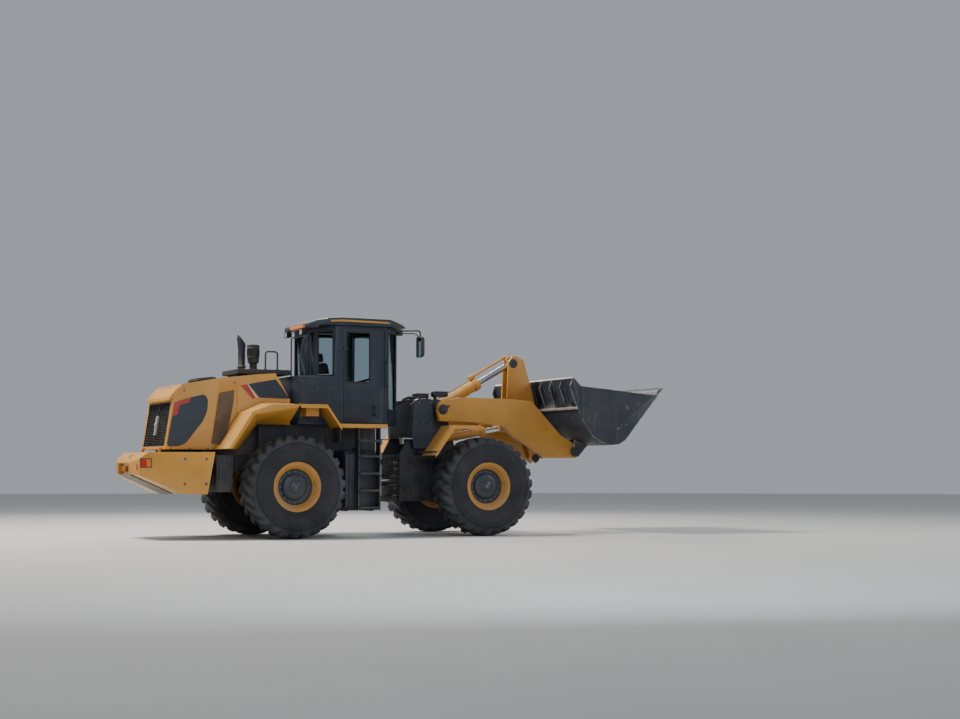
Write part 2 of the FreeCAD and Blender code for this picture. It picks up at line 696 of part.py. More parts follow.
cab = cab.cut(rearWindow).cut(noseWindow)
for s in (1, -1):
    sill = sorted((s * (cabHalfWidth - wall - doorSwingGap), s * (cabHalfWidth + 120)))
    cab = cab.cut(box(doorRearX, doorFrontX, *sill, doorBottomZ, doorTopZ))
    cab = cab.cut(cornerPane(frontCorner, s, (0.12, 0.9), (-20, wall + 25), frontWindowZ))
    cab = cab.cut(cornerPane(rearCorner, s, (0.12, 0.88), (-20, wall + 25), backWindowZ))
hingeZ = (doorBottomZ + 250, doorTopZ - 370)
hingeHeight = 30.0
hingeParts = []
for s in (1, -1):
    x, y = doorHinge[0], s * doorHinge[1]
    for z in hingeZ:
        y0, y1 = sorted((s * (cabHalfWidth - 5), y))
        hingeParts += [box(x - 70, x, y0, y1, z, z + hingeHeight), post((x, y), z, z + hingeHeight, 14, 8),
                       post((x, y), z, z + 2 * hingeHeight + 2, 7, 8)]
shapes["cab_frame"] = fuse(cab, *hingeParts)

paneDepth = (20.0, 20.0 + glassThickness)
g = seatGap
backPaneZ = (backWindowZ[0] + g, backWindowZ[1] - g)
frontPaneZ = (frontWindowZ[0] + g, frontWindowZ[1] - g)
panes = [box(cabBackX + paneDepth[0], cabBackX + paneDepth[1], -backWindowY + g, backWindowY - g, *backPaneZ),
         box(cabFrontX - paneDepth[1], cabFrontX - paneDepth[0], -cabNoseY + 55 + g, cabNoseY - 55 - g,
             *frontPaneZ)]
for s in (1, -1):
    panes.append(cornerPane(rearCorner, s, (0.1208, 0.8792), paneDepth, backPaneZ))
    panes.append(cornerPane(frontCorner, s, (0.1208, 0.8992), paneDepth, frontPaneZ))
shapes["cab_glass"] = group(*panes)

roofBackX = cabBackX - 167
roofSkirtZ = cabTopZ - 40
roofRise = [(roofBackX, 32), (roofBackX + 135, 100), (cabRearX + 700, 130), (cabFrontX - 260, 126),
            (cabFrontX + 60, 70), (cabFrontX + 160, 20), (cabFrontX + 70, 0), (cabBackX - seatGap, 0)]
roofSide = [(roofBackX, roofSkirtZ)]
roofSide += [(x, cabTopZ + rise) for x, rise in roofRise] + [(cabBackX - seatGap, roofSkirtZ)]
roofPlan = [(roofBackX, -cabBackY - 30), (cabSideX - 150, -roofHalfWidth), (cabCornerX + 40, -roofHalfWidth),
            (cabFrontX + 160, -cabNoseY - 40)]
roofPlan += [(x, -y) for x, y in reversed(roofPlan)]
roof = sidePrism(roofSide, -roofHalfWidth, roofHalfWidth)
shapes["cab_roof"] = roof.common(planPrism(roofPlan, eaveZ, cabTopZ + 200))


def makeDoor(s):
    inner, outer = cabHalfWidth - wall, cabHalfWidth
    y0, y1 = min(s * inner, s * outer), max(s * inner, s * outer)
    leaf = box(doorRearX + doorGap, doorFrontX - doorSwingGap, y0, y1, doorBottomZ + doorGap,
               doorTopZ - doorGap)
    leaf = leaf.cut(box(*doorWindowX, y0 - 10, y1 + 10, *doorWindowZ))
    x, y = doorHinge[0], s * doorHinge[1]
    for z in hingeZ:
        z0 = z + hingeHeight + 1
        y0, y1 = sorted((s * (cabHalfWidth - 5), y))
        knuckle = fuse(box(x, x + 70, y0, y1, z0, z0 + hingeHeight), post((x, y), z0, z0 + hingeHeight, 14, 8))
        leaf = fuse(leaf, knuckle.cut(postHole((x, y), z0 - 1, z0 + hingeHeight + 1, 7 + pinClearance, 8)))
    return leaf


def makeDoorGlass(s):
    y0, y1 = sorted((s * (cabHalfWidth - paneDepth[1]), s * (cabHalfWidth - paneDepth[0])))
    return box(doorWindowX[0] + g, doorWindowX[1] - g, y0, y1, doorWindowZ[0] + g, doorWindowZ[1] - g)


for hand, s in (("right", -1), ("left", 1)):
    shapes["door_" + hand] = makeDoor(s)
    shapes["door_glass_" + hand] = makeDoorGlass(s)

floorTop = cabFloorZ + 90
seatX = (-780.0, -260.0)
seatHeight = 510.0
seatTopZ = floorTop + seatHeight
backrestTopZ = seatTopZ + 600
backrest = [(seatX[0] - 40, seatTopZ), (seatX[0] + 120, seatTopZ), (seatX[0] + 40, backrestTopZ),
            (seatX[0] - 100, backrestTopZ)]
shapes["seat"] = group(fuse(box(seatX[0] + 60, seatX[1], -250, 250, seatTopZ - 130, seatTopZ),
                            sidePrism(backrest, -230, 230)))
shapes["seat_base"] = box(seatX[0] + 120, seatX[1] - 80, -190, 190, floorTop + seatGap,
                          seatTopZ - 130 - seatGap)
wheelRing = [[(r * math.cos(t * math.pi / 6), r * math.sin(t * math.pi / 6)) for t in range(12)]
             for r in (205, 172)]
steeringWheel = planPrism(wheelRing[0], -14, 14).cut(planPrism(wheelRing[1], -20, 20))
steeringWheel = fuse(steeringWheel, box(-190, 190, -16, 16, -10, 10), box(-16, 16, -190, 190, -10, 10))
steeringWheel.rotate(V(0, 0, 0), V(0, 1, 0), -16.4)
steeringZ = floorTop + 670
steeringWheel.translate(V(-120, 0, steeringZ))
columnFootZ = floorTop + 160
dashboard = box(60, 260, -360, 360, floorTop + seatGap, floorTop + 490)
columnFoot = box(-20, 70, -50, 50, floorTop + seatGap, columnFootZ + 50)
shapes["console"] = fuse(dashboard, columnFoot, rod((30, 0, columnFootZ), (-120, 0, steeringZ), 38),
                         steeringWheel)

# Rails, mirrors and lamps

deckFoot = deckTop + seatGap
deckRail = bar([(-1680, -395, deckFoot), (-1680, -395, 2970), (-1880, -395, 2970), (-1880, -395, deckFoot)], 14,
               50)
guardX = (cabBackX - 60, cabBackX - seatGap)
guardY = cabBackY - 25
guardZ = (windowBottomZ + 12, roofSkirtZ - 90)
guard = bar([(guardX[1], guardY, guardZ[0]), (guardX[0], guardY, guardZ[0]), (guardX[0], guardY, guardZ[1]),
             (guardX[0], -guardY, guardZ[1]), (guardX[0], -guardY, guardZ[0]), (guardX[1], -guardY, guardZ[0])], 12, 40)
grabX = cabCornerX - 18
grabZ = [frontWindowZ[0] + share * (frontWindowZ[1] - frontWindowZ[0]) for share in (0.31, 0.62)]
cabRails = []
for s in (1, -1):
    y = s * (cabHalfWidth + 60)
    face = s * (cabHalfWidth + seatGap)
    cabRails.append(bar([(grabX, face, grabZ[0]), (grabX, y, grabZ[0]), (grabX, y, grabZ[1]),
                         (grabX, face, grabZ[1])], 12, 30))
shapes["handrails"] = group(deckRail, guard, *cabRails)

mirrorX = (cabCornerX + 100, cabFrontX + 200)
mirrorY = (cabHalfWidth - 40, cabHalfWidth + 220)
mirrorArmZ = cabTopZ - 60
mirrorParts = []
for s in (1, -1):
    arm = bar([(mirrorX[0], s * mirrorY[0], cabTopZ - seatGap), (mirrorX[0], s * mirrorY[0], mirrorArmZ),
               (mirrorX[1], s * mirrorY[1], mirrorArmZ), (mirrorX[1], s * mirrorY[1],
                                                          mirrorArmZ - 100)], 15, 40)
    head = box(mirrorX[1] - 30, mirrorX[1] + 40, s * mirrorY[1] - 110, s * mirrorY[1] + 110,
               mirrorArmZ - 440, mirrorArmZ - 90)
    mirrorParts.append(fuse(arm, head))
shapes["mirrors"] = group(*mirrorParts)

lampHalf = 70.0
beacon = box(roofBackX - 45, roofBackX - seatGap, -cabBackY, 120, roofSkirtZ + 4, cabTopZ + 22)
lamps = [beacon]
for s in (1, -1):
    lamps.append(box(roofBackX - 40, roofBackX + 60, s * 370 - lampHalf, s * 370 + lampHalf,
                     roofSkirtZ - 100, roofSkirtZ - seatGap))
    lamps.append(box(cabFrontX + 35, cabFrontX + 115, s * 400 - lampHalf, s * 400 + lampHalf,
                     cabTopZ - 105, cabTopZ - seatGap))
shapes["cab_lamps"] = group(*lamps)


# Front frame: tower plates, hinge tongues and cylinder seats

def makeFrontFrame():
    tower = [(frontWallX, frameBottom), (1250, frameBottom), (1420, axleSeatZ), (frontNoseX, axleSeatZ),
             (frontNoseX, 1180), (1700, 1330), (1450, 1480), (1330, 1900), (1290, 2120), (1190, 2250), (760, 2250),
             (650, 2170), (600, 1600), (frontWallX, 1330)]
    parts = []
    y0 = frontFrameY - plateThickness / 2
    for s in (1, -1):
        parts.append(sidePrism(tower, s * frontFrameY - plateThickness / 2,
                               s * frontFrameY + plateThickness / 2))
    parts.append(box(frontWallX, frontWallX + plateThickness, -y0, y0, frameBottom, 1330))
    parts.append(box(frontNoseX - plateThickness, frontNoseX, -y0, y0, axleSeatZ, 1180))
    parts.append(box(frontWallX, 1300, -y0, y0, 1290, 1330))
    parts.append(sidePrism([(650, 2180), (600, 1600), (640, 1600), (690, 2180)], -y0, y0))
    for z in (upperHingeZ, lowerHingeZ):
        z0 = z - tongueThickness / 2
        tongue = fuse(planPrism([(frontWallX + 10, -300), (0, -lugRadius), (0, lugRadius),
                                 (frontWallX + 10, 300)],
                                z0, z0 + tongueThickness),
                      post((0, 0), z0, z0 + tongueThickness, lugRadius, bossSides))
        parts.append(tongue.cut(postHole((0, 0), z0 - 1, z0 + tongueThickness + 1, pinRadius + pinClearance)))
    # seats of the tilt cylinder
    parts.append(crossRod((1000, 1930), -y0, y0, 70))
    for s in (1, -1):
        ear = strip((1000, 1930), tiltBase, 75, min(s * 70, s * 110), max(s * 70, s * 110))
        parts.append(ear)
    parts.append(crossPin(tiltBase, -90, 90, tiltPinRadius))
    for s in (1, -1):
        for z0 in (steerZ - 85, steerZ + 60):
            x, y = steerEye
            parts.append(planPrism([(frontWallX + 20, s * (y - 110)), (x - 60, s * (y - 60)),
                                    (x - 60, s * (y + 50)),
                                    (frontWallX + 20, s * (y + 50))], z0, z0 + 25))
    return fuse(*parts)


shapes["front_frame"] = makeFrontFrame()


def makePivotPins():
    """Stub pins with their bosses on the tower's outer faces, for the arm and the lift cylinders."""
    face = frontFrameY + plateThickness / 2 + seatGap
    armStub = (boomPivot, armY - armThickness / 2 - sideGap, 110, armY + armThickness / 2 + 30)
    liftStub = (liftBase, liftY - 45 - sideGap, 95, liftY + 45 + 20)
    stubs = []
    for at, bossEnd, bossRadius, pinEnd in (armStub, liftStub):
        stub = fuse(crossRod(at, face, bossEnd, bossRadius, bossSides), crossPin(at, face, pinEnd, pinRadius))
        stubs += [stub, mirrored(stub)]
    return group(*stubs)


shapes["pivot_pins"] = makePivotPins()

frontFenderLine = [(690, 1330), (1030, 1800), (1500, 1800)]
frontFender = bentPlate(frontFenderLine, fenderPlate * 1.6, 800, 1350)
frontLip = bentPlate(frontFenderLine, 55, 1350 - fenderPlate, 1350)
fenderArm = rod((735, frontFrameY + plateThickness / 2 + seatGap, 1350), (735, 1345, 1350), 32)
shapes["front_fenders"] = both(fuse(frontFender, frontLip, fenderArm))
shapes["work_lamps"] = both(fuse(box(1040, 1330, 330, 470, 2295, 2392),
                                 box(1070, 1130, 365, 395, 2250 + seatGap, 2300)))


# Lift arm: two plates and a cross tube that carries the crank

armOutline = [(1030, 2060), (1040, 2150), (1070, 2215), (1250, 2238), (1460, 2285), (2300, 2280), (2780, 2250),
              (3357, 1661),
              (3700, 1480), (3700, 1320), (3620, 1283), (3065, 1283), (2453, 1636), (2360, 1700), (2207, 1819),
              (1647, 1879), (1075, 1885)]


def makeBoom():
    parts = []
    inner = armY - armThickness / 2
    outer = armY + armThickness / 2
    for s in (1, -1):
        parts.append(sidePrism(armOutline, min(s * inner, s * outer), max(s * inner, s * outer)))
        parts.append(crossRod(liftEye, s * inner, s * (outer + 12), 70, bossSides))
        earY = sorted((s * 125, s * 165))
        parts.append(strip(crossTube, crankPivot, 85, *earY))
    parts.append(crossRod(crossTube, -inner - 5, inner + 5, crossTubeRadius, bossSides))
    parts.append(crossPin(crankPivot, -145, 145, pinRadius))
    boom = fuse(*parts)
    for at in (boomPivot, bucketPivot):
        boom = boom.cut(crossHole(at, -800, 800, pinRadius + pinClearance))
    return boom


shapes["boom"] = makeBoom()


def makeCrank():
    outline = [(2690, 3050), (2775, 3040), (2900, 2980), (3030, 2560), (3107, 2282), (3230, 1300), (3140, 1190),
               (3045, 1270), (2800, 2060), (2580, 2307), (2600, 2670), (2610, 2930)]
    parts = []
    for s in (1, -1):
        low, high = sorted((s * (crankPlateY - 20), s * (crankPlateY + 20)))
        parts.append(sidePrism(outline, low, high))
    parts.append(crossRod(crankPivot, -crankPlateY, crankPlateY, 110, bossSides))
    crank = fuse(*parts)
    return crank.cut(crossHole(crankPivot, -200, 200, pinRadius + pinClearance))


shapes["bell_crank"] = makeCrank()
linkHalf = linkWidth / 2
link = strip(crankFoot, bucketTopPin, 62, -linkHalf, linkHalf)
shapes["bucket_link"] = link.cut(crossHole(bucketTopPin, -200, 200, linkPinRadius + pinClearance))


# Bucket, drawn level about its lower pin and then rolled back

def makeBucket():
    t = bucketPlate
    px, pz = bucketPivot
    outerLine = [(1580, -280), (470, -280), (330, -225), (215, -110), (140, 60), (110, 240), (170, 500),
                 (285, 770),
                 (410, 860), (610, 1160)]
    innerLine = [(1580, -280 + t), (478, -280 + t), (348, -205), (237, -97), (164, 68), (135, 240), (194, 492),
                 (303, 755), (428, 842), (632, 1148)]
    half = bucketHalfWidth
    parts = [sidePrism(outerLine + innerLine[::-1], -half, half)]
    cheek = outerLine[1:] + [(632, 1148), (612, 955), (1420, -200), (1480, -280)]
    for s in (1, -1):
        parts.append(sidePrism(cheek, *sorted((s * half, s * (half - 30)))))
    parts.append(sidePrism([(1440, -255), (1440, -225), (1560, -225), (1640, -262), (1640, -280), (1560, -280)],
                           -half, half))
    for i in range(9):
        y = -half + 12 + (2 * half - 24) * i / 8
        parts.append(sidePrism([(285, 770), (410, 860), (610, 1160), (470, 1110), (330, 860)], y - 10, y + 10))
    for s in (1, -1):
        for y0, y1 in ((armY - 95, armY - 55), (armY + 55, armY + 95)):
            ear = [(130, 170), (60, 90), (-70, 50), (-95, -30), (-40, -95), (60, -100), (215, -105),
                   (300, -150)]
            parts.append(sidePrism(ear + [(250, -60), (165, 60)], *sorted((s * y0, s * y1))))
        parts.append(pin((0, s * (armY - 75), 0), (0, s * (armY + 75), 0), pinRadius))
        topEar = [(125, 180), (60, 320), (0, 330), (-45, 385), (-20, 440), (40, 470), (180, 520)]
        parts.append(sidePrism(topEar, *sorted((s * 80, s * 115))))
    tx, tz = bucketTopPin[0] - px, bucketTopPin[1] - pz
    angle = math.radians(rollBackDeg)
    levelPin = (tx * math.cos(angle) + tz * math.sin(angle), -tx * math.sin(angle) + tz * math.cos(angle))
    parts.append(crossPin(levelPin, -97, 97, linkPinRadius))
    bucket = fuse(*parts)
    bucket.rotate(V(0, 0, 0), V(0, 1, 0), -rollBackDeg)
    bucket.translate(V(px, 0, pz))
    return bucket


shapes["bucket"] = makeBucket()


# Cylinders

def makeBarrel(base, eye, length, radius, rodRadius, y, halfEye, basePin, boreStart):
    """Barrel from its base pin towards the rod's eye, in side view."""
    start, inner, head, beyond = [lerp(base, eye, d / span(base, eye))
                                  for d in (112, boreStart, length, length + 10)]
    tube = rod((start[0], y, start[1]), (head[0], y, head[1]), radius, bossSides)
    neck = rod((base[0], y, base[1]), (start[0], y, start[1]), halfEye - 3)
    bore = hole((inner[0], y, inner[1]), (beyond[0], y, beyond[1]), rodRadius + seatGap)
    solid = fuse(tube, neck, crossRod(base, y - halfEye, y + halfEye, basePin + 35, bossSides))
    return solid.cut(crossHole(base, y - radius - 10, y + radius + 10, basePin + pinClearance)).cut(bore)


def makeRod(base, eye, length, radius, y, halfEye, eyeR):
    """Rod from inside the barrel to its eye."""
    inside = lerp(eye, base, length / span(base, eye))
    shank = pin((inside[0], y, inside[1]), (eye[0], y, eye[1]), radius)
    return fuse(shank, crossRod(eye, y - halfEye, y + halfEye, eyeR, bossSides))


shapes["lift_barrels"] = both(makeBarrel(liftBase, liftEye, liftBarrelLength, liftBarrelRadius, liftRodRadius,
                                         liftY, 45,
                                         pinRadius, 130))
shapes["lift_rods"] = both(makeRod(liftBase, liftEye, liftRodLength, liftRodRadius, liftY, 45, 75))
shapes["tilt_barrel"] = makeBarrel(tiltBase, crankTop, tiltBarrelLength, tiltBarrelRadius, tiltRodRadius, 0, 60,
                                   tiltPinRadius, 330)
tiltRod = makeRod(tiltBase, crankTop, tiltRodLength, tiltRodRadius, 0, 65, 70)
along = V(crankTop[0] - tiltBase[0], 0, crankTop[1] - tiltBase[1]).normalize()
above = V(-along.z, 0, along.x)
eyePoint = V(crankTop[0], 0, crankTop[1])


def besideTilt(back, up):
    """Point a way back from the rod's eye and a way above the cylinder."""
    point = eyePoint - along * back + above * up
    return (point.x, 0, point.z)


levelBar = rod(besideTilt(30, levelBarUp), besideTilt(levelBarLength, levelBarUp), levelBarRadius, 8)
levelStay = rod(besideTilt(60, 40), besideTilt(60, levelBarUp), 22, 8)
shapes["tilt_rod"] = fuse(tiltRod, levelBar, levelStay)
sleeveBack = span(tiltBase, crankTop) - tiltBarrelLength
sleeve = rod(besideTilt(sleeveBack + 30, levelBarUp), besideTilt(sleeveBack + 110, levelBarUp), 34, 10)
sleeve = sleeve.cut(hole(besideTilt(sleeveBack + 20, levelBarUp), besideTilt(sleeveBack + 120, levelBarUp),
                         levelBarRadius + 2))
sleeveStay = rod(besideTilt(sleeveBack + 70, tiltBarrelRadius - 10),
                 besideTilt(sleeveBack + 70, levelBarUp - 22), 22, 8)
shapes["tilt_barrel"] = fuse(shapes["tilt_barrel"], sleeveStay, sleeve)


def steerPair(s):
    bx, by = steerBase[0], s * steerBase[1]
    ex, ey = steerEye[0], s * steerEye[1]
    length = math.hypot(ex - bx, ey - by)
    ux, uy = (ex - bx) / length, (ey - by) / length

    def at(d):
        return (bx + ux * d, by + uy * d, steerZ)
    tube = rod(at(40), at(steerBarrelLength), steerBarrelRadius)
    barrel = fuse(tube, post((bx, by), steerZ - 45, steerZ + 45, 48))
    barrel = barrel.cut(postHole((bx, by), steerZ - 100, steerZ + 100, steerPinRadius + pinClearance))
    barrel = barrel.cut(hole(at(80), at(steerBarrelLength + 5), steerRodRadius + seatGap))
    shank = fuse(pin(at(length - steerRodLength), at(length), steerRodRadius),
                 post((ex, ey), steerZ - 45, steerZ + 45, 42))
    return barrel, shank


for hand, s in (("left", 1), ("right", -1)):
    barrel, shank = steerPair(s)
    shapes["steer_barrel_" + hand] = barrel
    shapes["steer_rod_" + hand] = shank

# Everything moves so that X 0 is the middle of the whole length

whole = Part.makeCompound(list(shapes.values())).BoundBox
shiftX = -(whole.XMin + whole.XMax) / 2
os.makedirs("parts", exist_ok=True)
for name, shape in shapes.items():
    shape.translate(V(shiftX, 0, 0))
    solid = shape
    if shape.ShapeType == "Compound" and len(shape.Solids) == 1:
        solid = shape.Solids[0]
    solid.exportStep("parts/" + name + ".step")
print("shift", round(shiftX, 3), "nodes", len(shapes))
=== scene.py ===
import math

import bmesh
import bpy
from mathutils import Matrix, Vector


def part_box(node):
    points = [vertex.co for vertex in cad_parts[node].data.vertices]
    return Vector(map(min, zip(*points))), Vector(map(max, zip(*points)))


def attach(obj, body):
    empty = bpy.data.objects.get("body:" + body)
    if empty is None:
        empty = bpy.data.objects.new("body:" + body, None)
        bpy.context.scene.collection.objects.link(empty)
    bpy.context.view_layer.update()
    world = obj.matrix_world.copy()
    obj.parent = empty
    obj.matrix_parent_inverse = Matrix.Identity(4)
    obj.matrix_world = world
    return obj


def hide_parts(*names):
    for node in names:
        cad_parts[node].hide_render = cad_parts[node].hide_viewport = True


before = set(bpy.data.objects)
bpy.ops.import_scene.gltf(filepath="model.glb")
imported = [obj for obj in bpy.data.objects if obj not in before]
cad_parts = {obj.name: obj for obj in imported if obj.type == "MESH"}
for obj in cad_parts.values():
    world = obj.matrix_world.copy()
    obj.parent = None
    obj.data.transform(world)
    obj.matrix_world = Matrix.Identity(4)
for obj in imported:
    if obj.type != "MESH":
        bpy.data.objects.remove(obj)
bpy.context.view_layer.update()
print("frame loaded:", len(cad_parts), "nodes")


# Places are metres from the frame's hinge: x forward, y to the left, z up from the ground

def middleOf(node):
    low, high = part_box(node)
    return (low + high) / 2


rearWheel = middleOf("rim_rear_right")
frontWheel = middleOf("rim_front_right")
hingeX = (rearWheel.x + frontWheel.x) / 2
axleX = {"rear": rearWheel.x - hingeX, "front": frontWheel.x - hingeX}


# Forms: lists of points and faces, drawn from the hinge and joined into pieces

meshLook = {"weld": 0.00005, "thinnest": 0.0004, "bevelAngle": 28, "crease": 32}
axes = {"y": lambda a, b, d: (a, d, b), "z": lambda a, b, d: (a, b, d), "x": lambda a, b, d: (d, a, b)}
up, forward, rearward, outward = (0, 0, 1), (1, 0, 0), (-1, 0, 0), (0, -1, 0)


def oblong(a0, a1, b0, b1):
    return [(a0, b0), (a1, b0), (a1, b1), (a0, b1)]


def turns(count, start=0.0):
    return [start + 2 * math.pi * i / count for i in range(count)]


def prism(first, second):
    # two matching outlines, skinned and capped
    count = len(first)
    faces = [list(range(count)), list(range(2 * count - 1, count - 1, -1))]
    faces += [[i, i + count, (i + 1) % count + count, (i + 1) % count] for i in range(count)]
    return first + second, faces


def slab(outline, low, high, across="y"):
    place = axes[across]
    return prism([place(a, b, low) for a, b in outline], [place(a, b, high) for a, b in outline])


def block(x, y, z):
    return slab(oblong(*x, *z), *y)


def ringed(rings, closed=False, capped=True):
    # rings of equal length, skinned one to the next
    size = len(rings[0])
    points = [tuple(p) for ring in rings for p in ring]
    faces = []
    for r in range(len(rings) if closed else len(rings) - 1):
        near, far = r * size, ((r + 1) % len(rings)) * size
        faces += [[near + i, near + (i + 1) % size, far + (i + 1) % size, far + i] for i in range(size)]
    if capped and not closed:
        faces += [list(range(size - 1, -1, -1)), list(range((len(rings) - 1) * size, len(rings) * size))]
    return points, faces


def turned(profile, start, way, sides=32, capped=True):
    # (distance along, radius) points turned about the line that leaves start
    start = Vector(start)
    axis = Vector(way).normalized()
    side = axis.orthogonal().normalized()
    other = axis.cross(side)
    rings = []
    for along, radius in profile:
        radius = max(radius, meshLook["thinnest"])
        rings.append([start + axis * along + (side * math.cos(t) + other * math.sin(t)) * radius
                      for t in turns(sides)])
    return ringed(rings, capped=capped)


def arc(before, corner, after, bend, share, steps):
    # points round a corner, from one leg to the other
    a, b = before - corner, after - corner
    reach = min(bend, a.length * share, b.length * share)
    start, end = corner + a.normalized() * reach, corner + b.normalized() * reach
    return [start * (1 - t) ** 2 + corner * 2 * t * (1 - t) + end * t * t
            for t in [i / steps for i in range(steps + 1)]]


def pipe(points, radius, bend=0.05, sides=12):
    points = [Vector(p) for p in points]
    line = points[:1]
    for before, corner, after in zip(points, points[1:], points[2:]):
        line += arc(before, corner, after, bend, 0.49, 5) if bend else [corner]
    line.append(points[-1])
    rings = []
    side = (line[1] - line[0]).orthogonal().normalized()
    for i, point in enumerate(line):
        ahead = (line[min(i + 1, len(line) - 1)] - line[max(i - 1, 0)]).normalized()
        side = (side - ahead * side.dot(ahead)).normalized()
        other = ahead.cross(side)
        rings.append([point + (side * math.cos(t) + other * math.sin(t)) * radius for t in turns(sides)])
    return ringed(rings)


def softCorners(outline, radius):
    # closed outline with its corners as arcs
    corners = [Vector(p) for p in outline]
    line = []
    for i, corner in enumerate(corners):
        line += arc(corners[i - 1], corner, corners[(i + 1) % len(corners)], radius, 0.45, 4)
    return [(p.x, p.y) for p in line]


def softPlate(sides, radius, low, high, across="y"):
    return slab(softCorners(oblong(*sides), radius), low, high, across)


def joined(*forms):
    points, faces = [], []
    for form in forms:
        start = len(points)
        points += list(form[0])
        faces += [[i + start for i in face] for face in form[1]]
    return points, faces


def flipped(form):
    return [(p[0], -p[1], p[2]) for p in form[0]], [face[::-1] for face in form[1]]


def bothSides(*forms):
    whole = joined(*forms)
    return joined(whole, flipped(whole))


def moved(form, matrix):
    return [tuple(matrix @ Vector(p)) for p in form[0]], form[1]


def boltHeads(points, way, radius=0.014, height=0.011):
    # a washer and a hexagon at each point
    washer = [(-0.002, radius * 1.35), (0.002, radius * 1.35)]
    head = [(0, radius), (height * 0.8, radius), (height, radius * 0.85)]
    return joined(*[turned(profile, point, way, sides) for point in points
                    for profile, sides in ((washer, 12), (head, 6))])


def around(middle, radius, count, plane="xz", start=0.0):
    # points on a circle
    offsets = [axes["y" if plane == "xz" else "z"](radius * math.cos(t), radius * math.sin(t), 0)
               for t in turns(count, start)]
    return [tuple(Vector(middle) + Vector(offset)) for offset in offsets]


def smooth(mesh, crease):
    mesh.polygons.foreach_set("use_smooth", [True] * len(mesh.polygons))
    mesh.set_sharp_from_angle(angle=math.radians(crease))


def softEdges(piece, width, segments, angle):
    edge = piece.modifiers.new("edge", "BEVEL")
    edge.width = width
    edge.segments = segments
    edge.limit_method = "ANGLE"
    edge.angle_limit = math.radians(angle)
    edge.harden_normals = True


def addPiece(name, form, material, body, stands=(), bevel=0.0, segments=2, crease=meshLook["crease"]):
    mesh = bpy.data.meshes.new(name)
    mesh.from_pydata([(p[0] + hingeX, p[1], p[2]) for p in form[0]], [], form[1])
    shape = bmesh.new()
    shape.from_mesh(mesh)
    bmesh.ops.remove_doubles(shape, verts=shape.verts, dist=meshLook["weld"])
    bmesh.ops.recalc_face_normals(shape, faces=shape.faces)
    shape.to_mesh(mesh)
    shape.free()
    piece = bpy.data.objects.new(name, mesh)
    bpy.context.scene.collection.objects.link(piece)
    mesh.materials.append(material)
    if bevel:
        softEdges(piece, bevel, segments, meshLook["bevelAngle"])
    smooth(piece.data, crease)
    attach(piece, body)
    if stands:
        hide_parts(*stands)


# Finishes

def addNode(tree, kind, inputs=None, **settings):
    node = tree.nodes.new("ShaderNode" + kind)
    for key, value in settings.items():
        setattr(node, key, value)
    for key, value in (inputs or {}).items():
        if isinstance(value, bpy.types.NodeSocket):
            tree.links.new(value, node.inputs[key])
        else:
            node.inputs[key].default_value = value
    return node


def ranged(tree, value, low, high, to=(0.0, 1.0)):
    return addNode(tree, "MapRange", {"Value": value, "From Min": low, "From Max": high,
                                      "To Min": to[0], "To Max": to[1]}).outputs["Result"]


def patches(tree, place, scale, low, high, detail=4.0, rough=0.6):
    # soft-edged patches, 0 to 1
    cloud = addNode(tree, "TexNoise", {"Vector": place, "Scale": scale, "Detail": detail, "Roughness": rough})
    return ranged(tree, cloud.outputs["Fac"], low, high)


def mixed(tree, share, first, second):
    return addNode(tree, "Mix", {0: share, 6: first, 7: second}, data_type="RGBA").outputs[2]


def added(tree, first, second):
    return addNode(tree, "Math", {0: first, 1: second}, operation="ADD", use_clamp=True).outputs[0]


def times(tree, first, second):
    return addNode(tree, "Math", {0: first, 1: second}, operation="MULTIPLY", use_clamp=True).outputs[0]


def newFinish(name):
    made = bpy.data.materials.new(name)
    made.use_nodes = True
    tree = made.node_tree
    place = addNode(tree, "TexCoord").outputs["Object"]
    return made, tree, tree.nodes["Principled BSDF"], place


def scraped(tree, shader, place, colour, look):
    # bare metal along the edges and where things rub
    edge = addNode(tree, "Bevel", {"Radius": look["wearWidth"]}, samples=6)
    flat = addNode(tree, "NewGeometry")
    turn = addNode(tree, "VectorMath", {0: edge.outputs["Normal"], 1: flat.outputs["Normal"]},
                   operation="DOT_PRODUCT")
    near = ranged(tree, turn.outputs["Value"], 0.995, 0.86)
    scrape = patches(tree, place, look["wearScale"], 0.36, 0.58)
    rub = times(tree, patches(tree, place, 7.0, 0.60, 0.72, 8.0, 0.75), look["rub"])
    worn = added(tree, times(tree, times(tree, near, scrape), look["wear"]), rub)
    tree.links.new(ranged(tree, worn, 0.0, 1.0, (0.0, 0.85)), shader.inputs["Metallic"])
    return mixed(tree, worn, colour, look["bare"] + (1,))


weather = {"toneScale": 2.2, "upDust": 0.5, "lowDust": 0.5, "dirtTop": 1.7, "haze": 0.12, "streak": 0.12,
           "grain": 0.12, "grainScale": 180.0, "depth": 0.004, "metallic": 0.0, "coat": 0.0, "wear": 0.0,
           "wearWidth": 0.02, "wearScale": 14.0, "rub": 0.0, "dust": (0.33, 0.26, 0.20)}


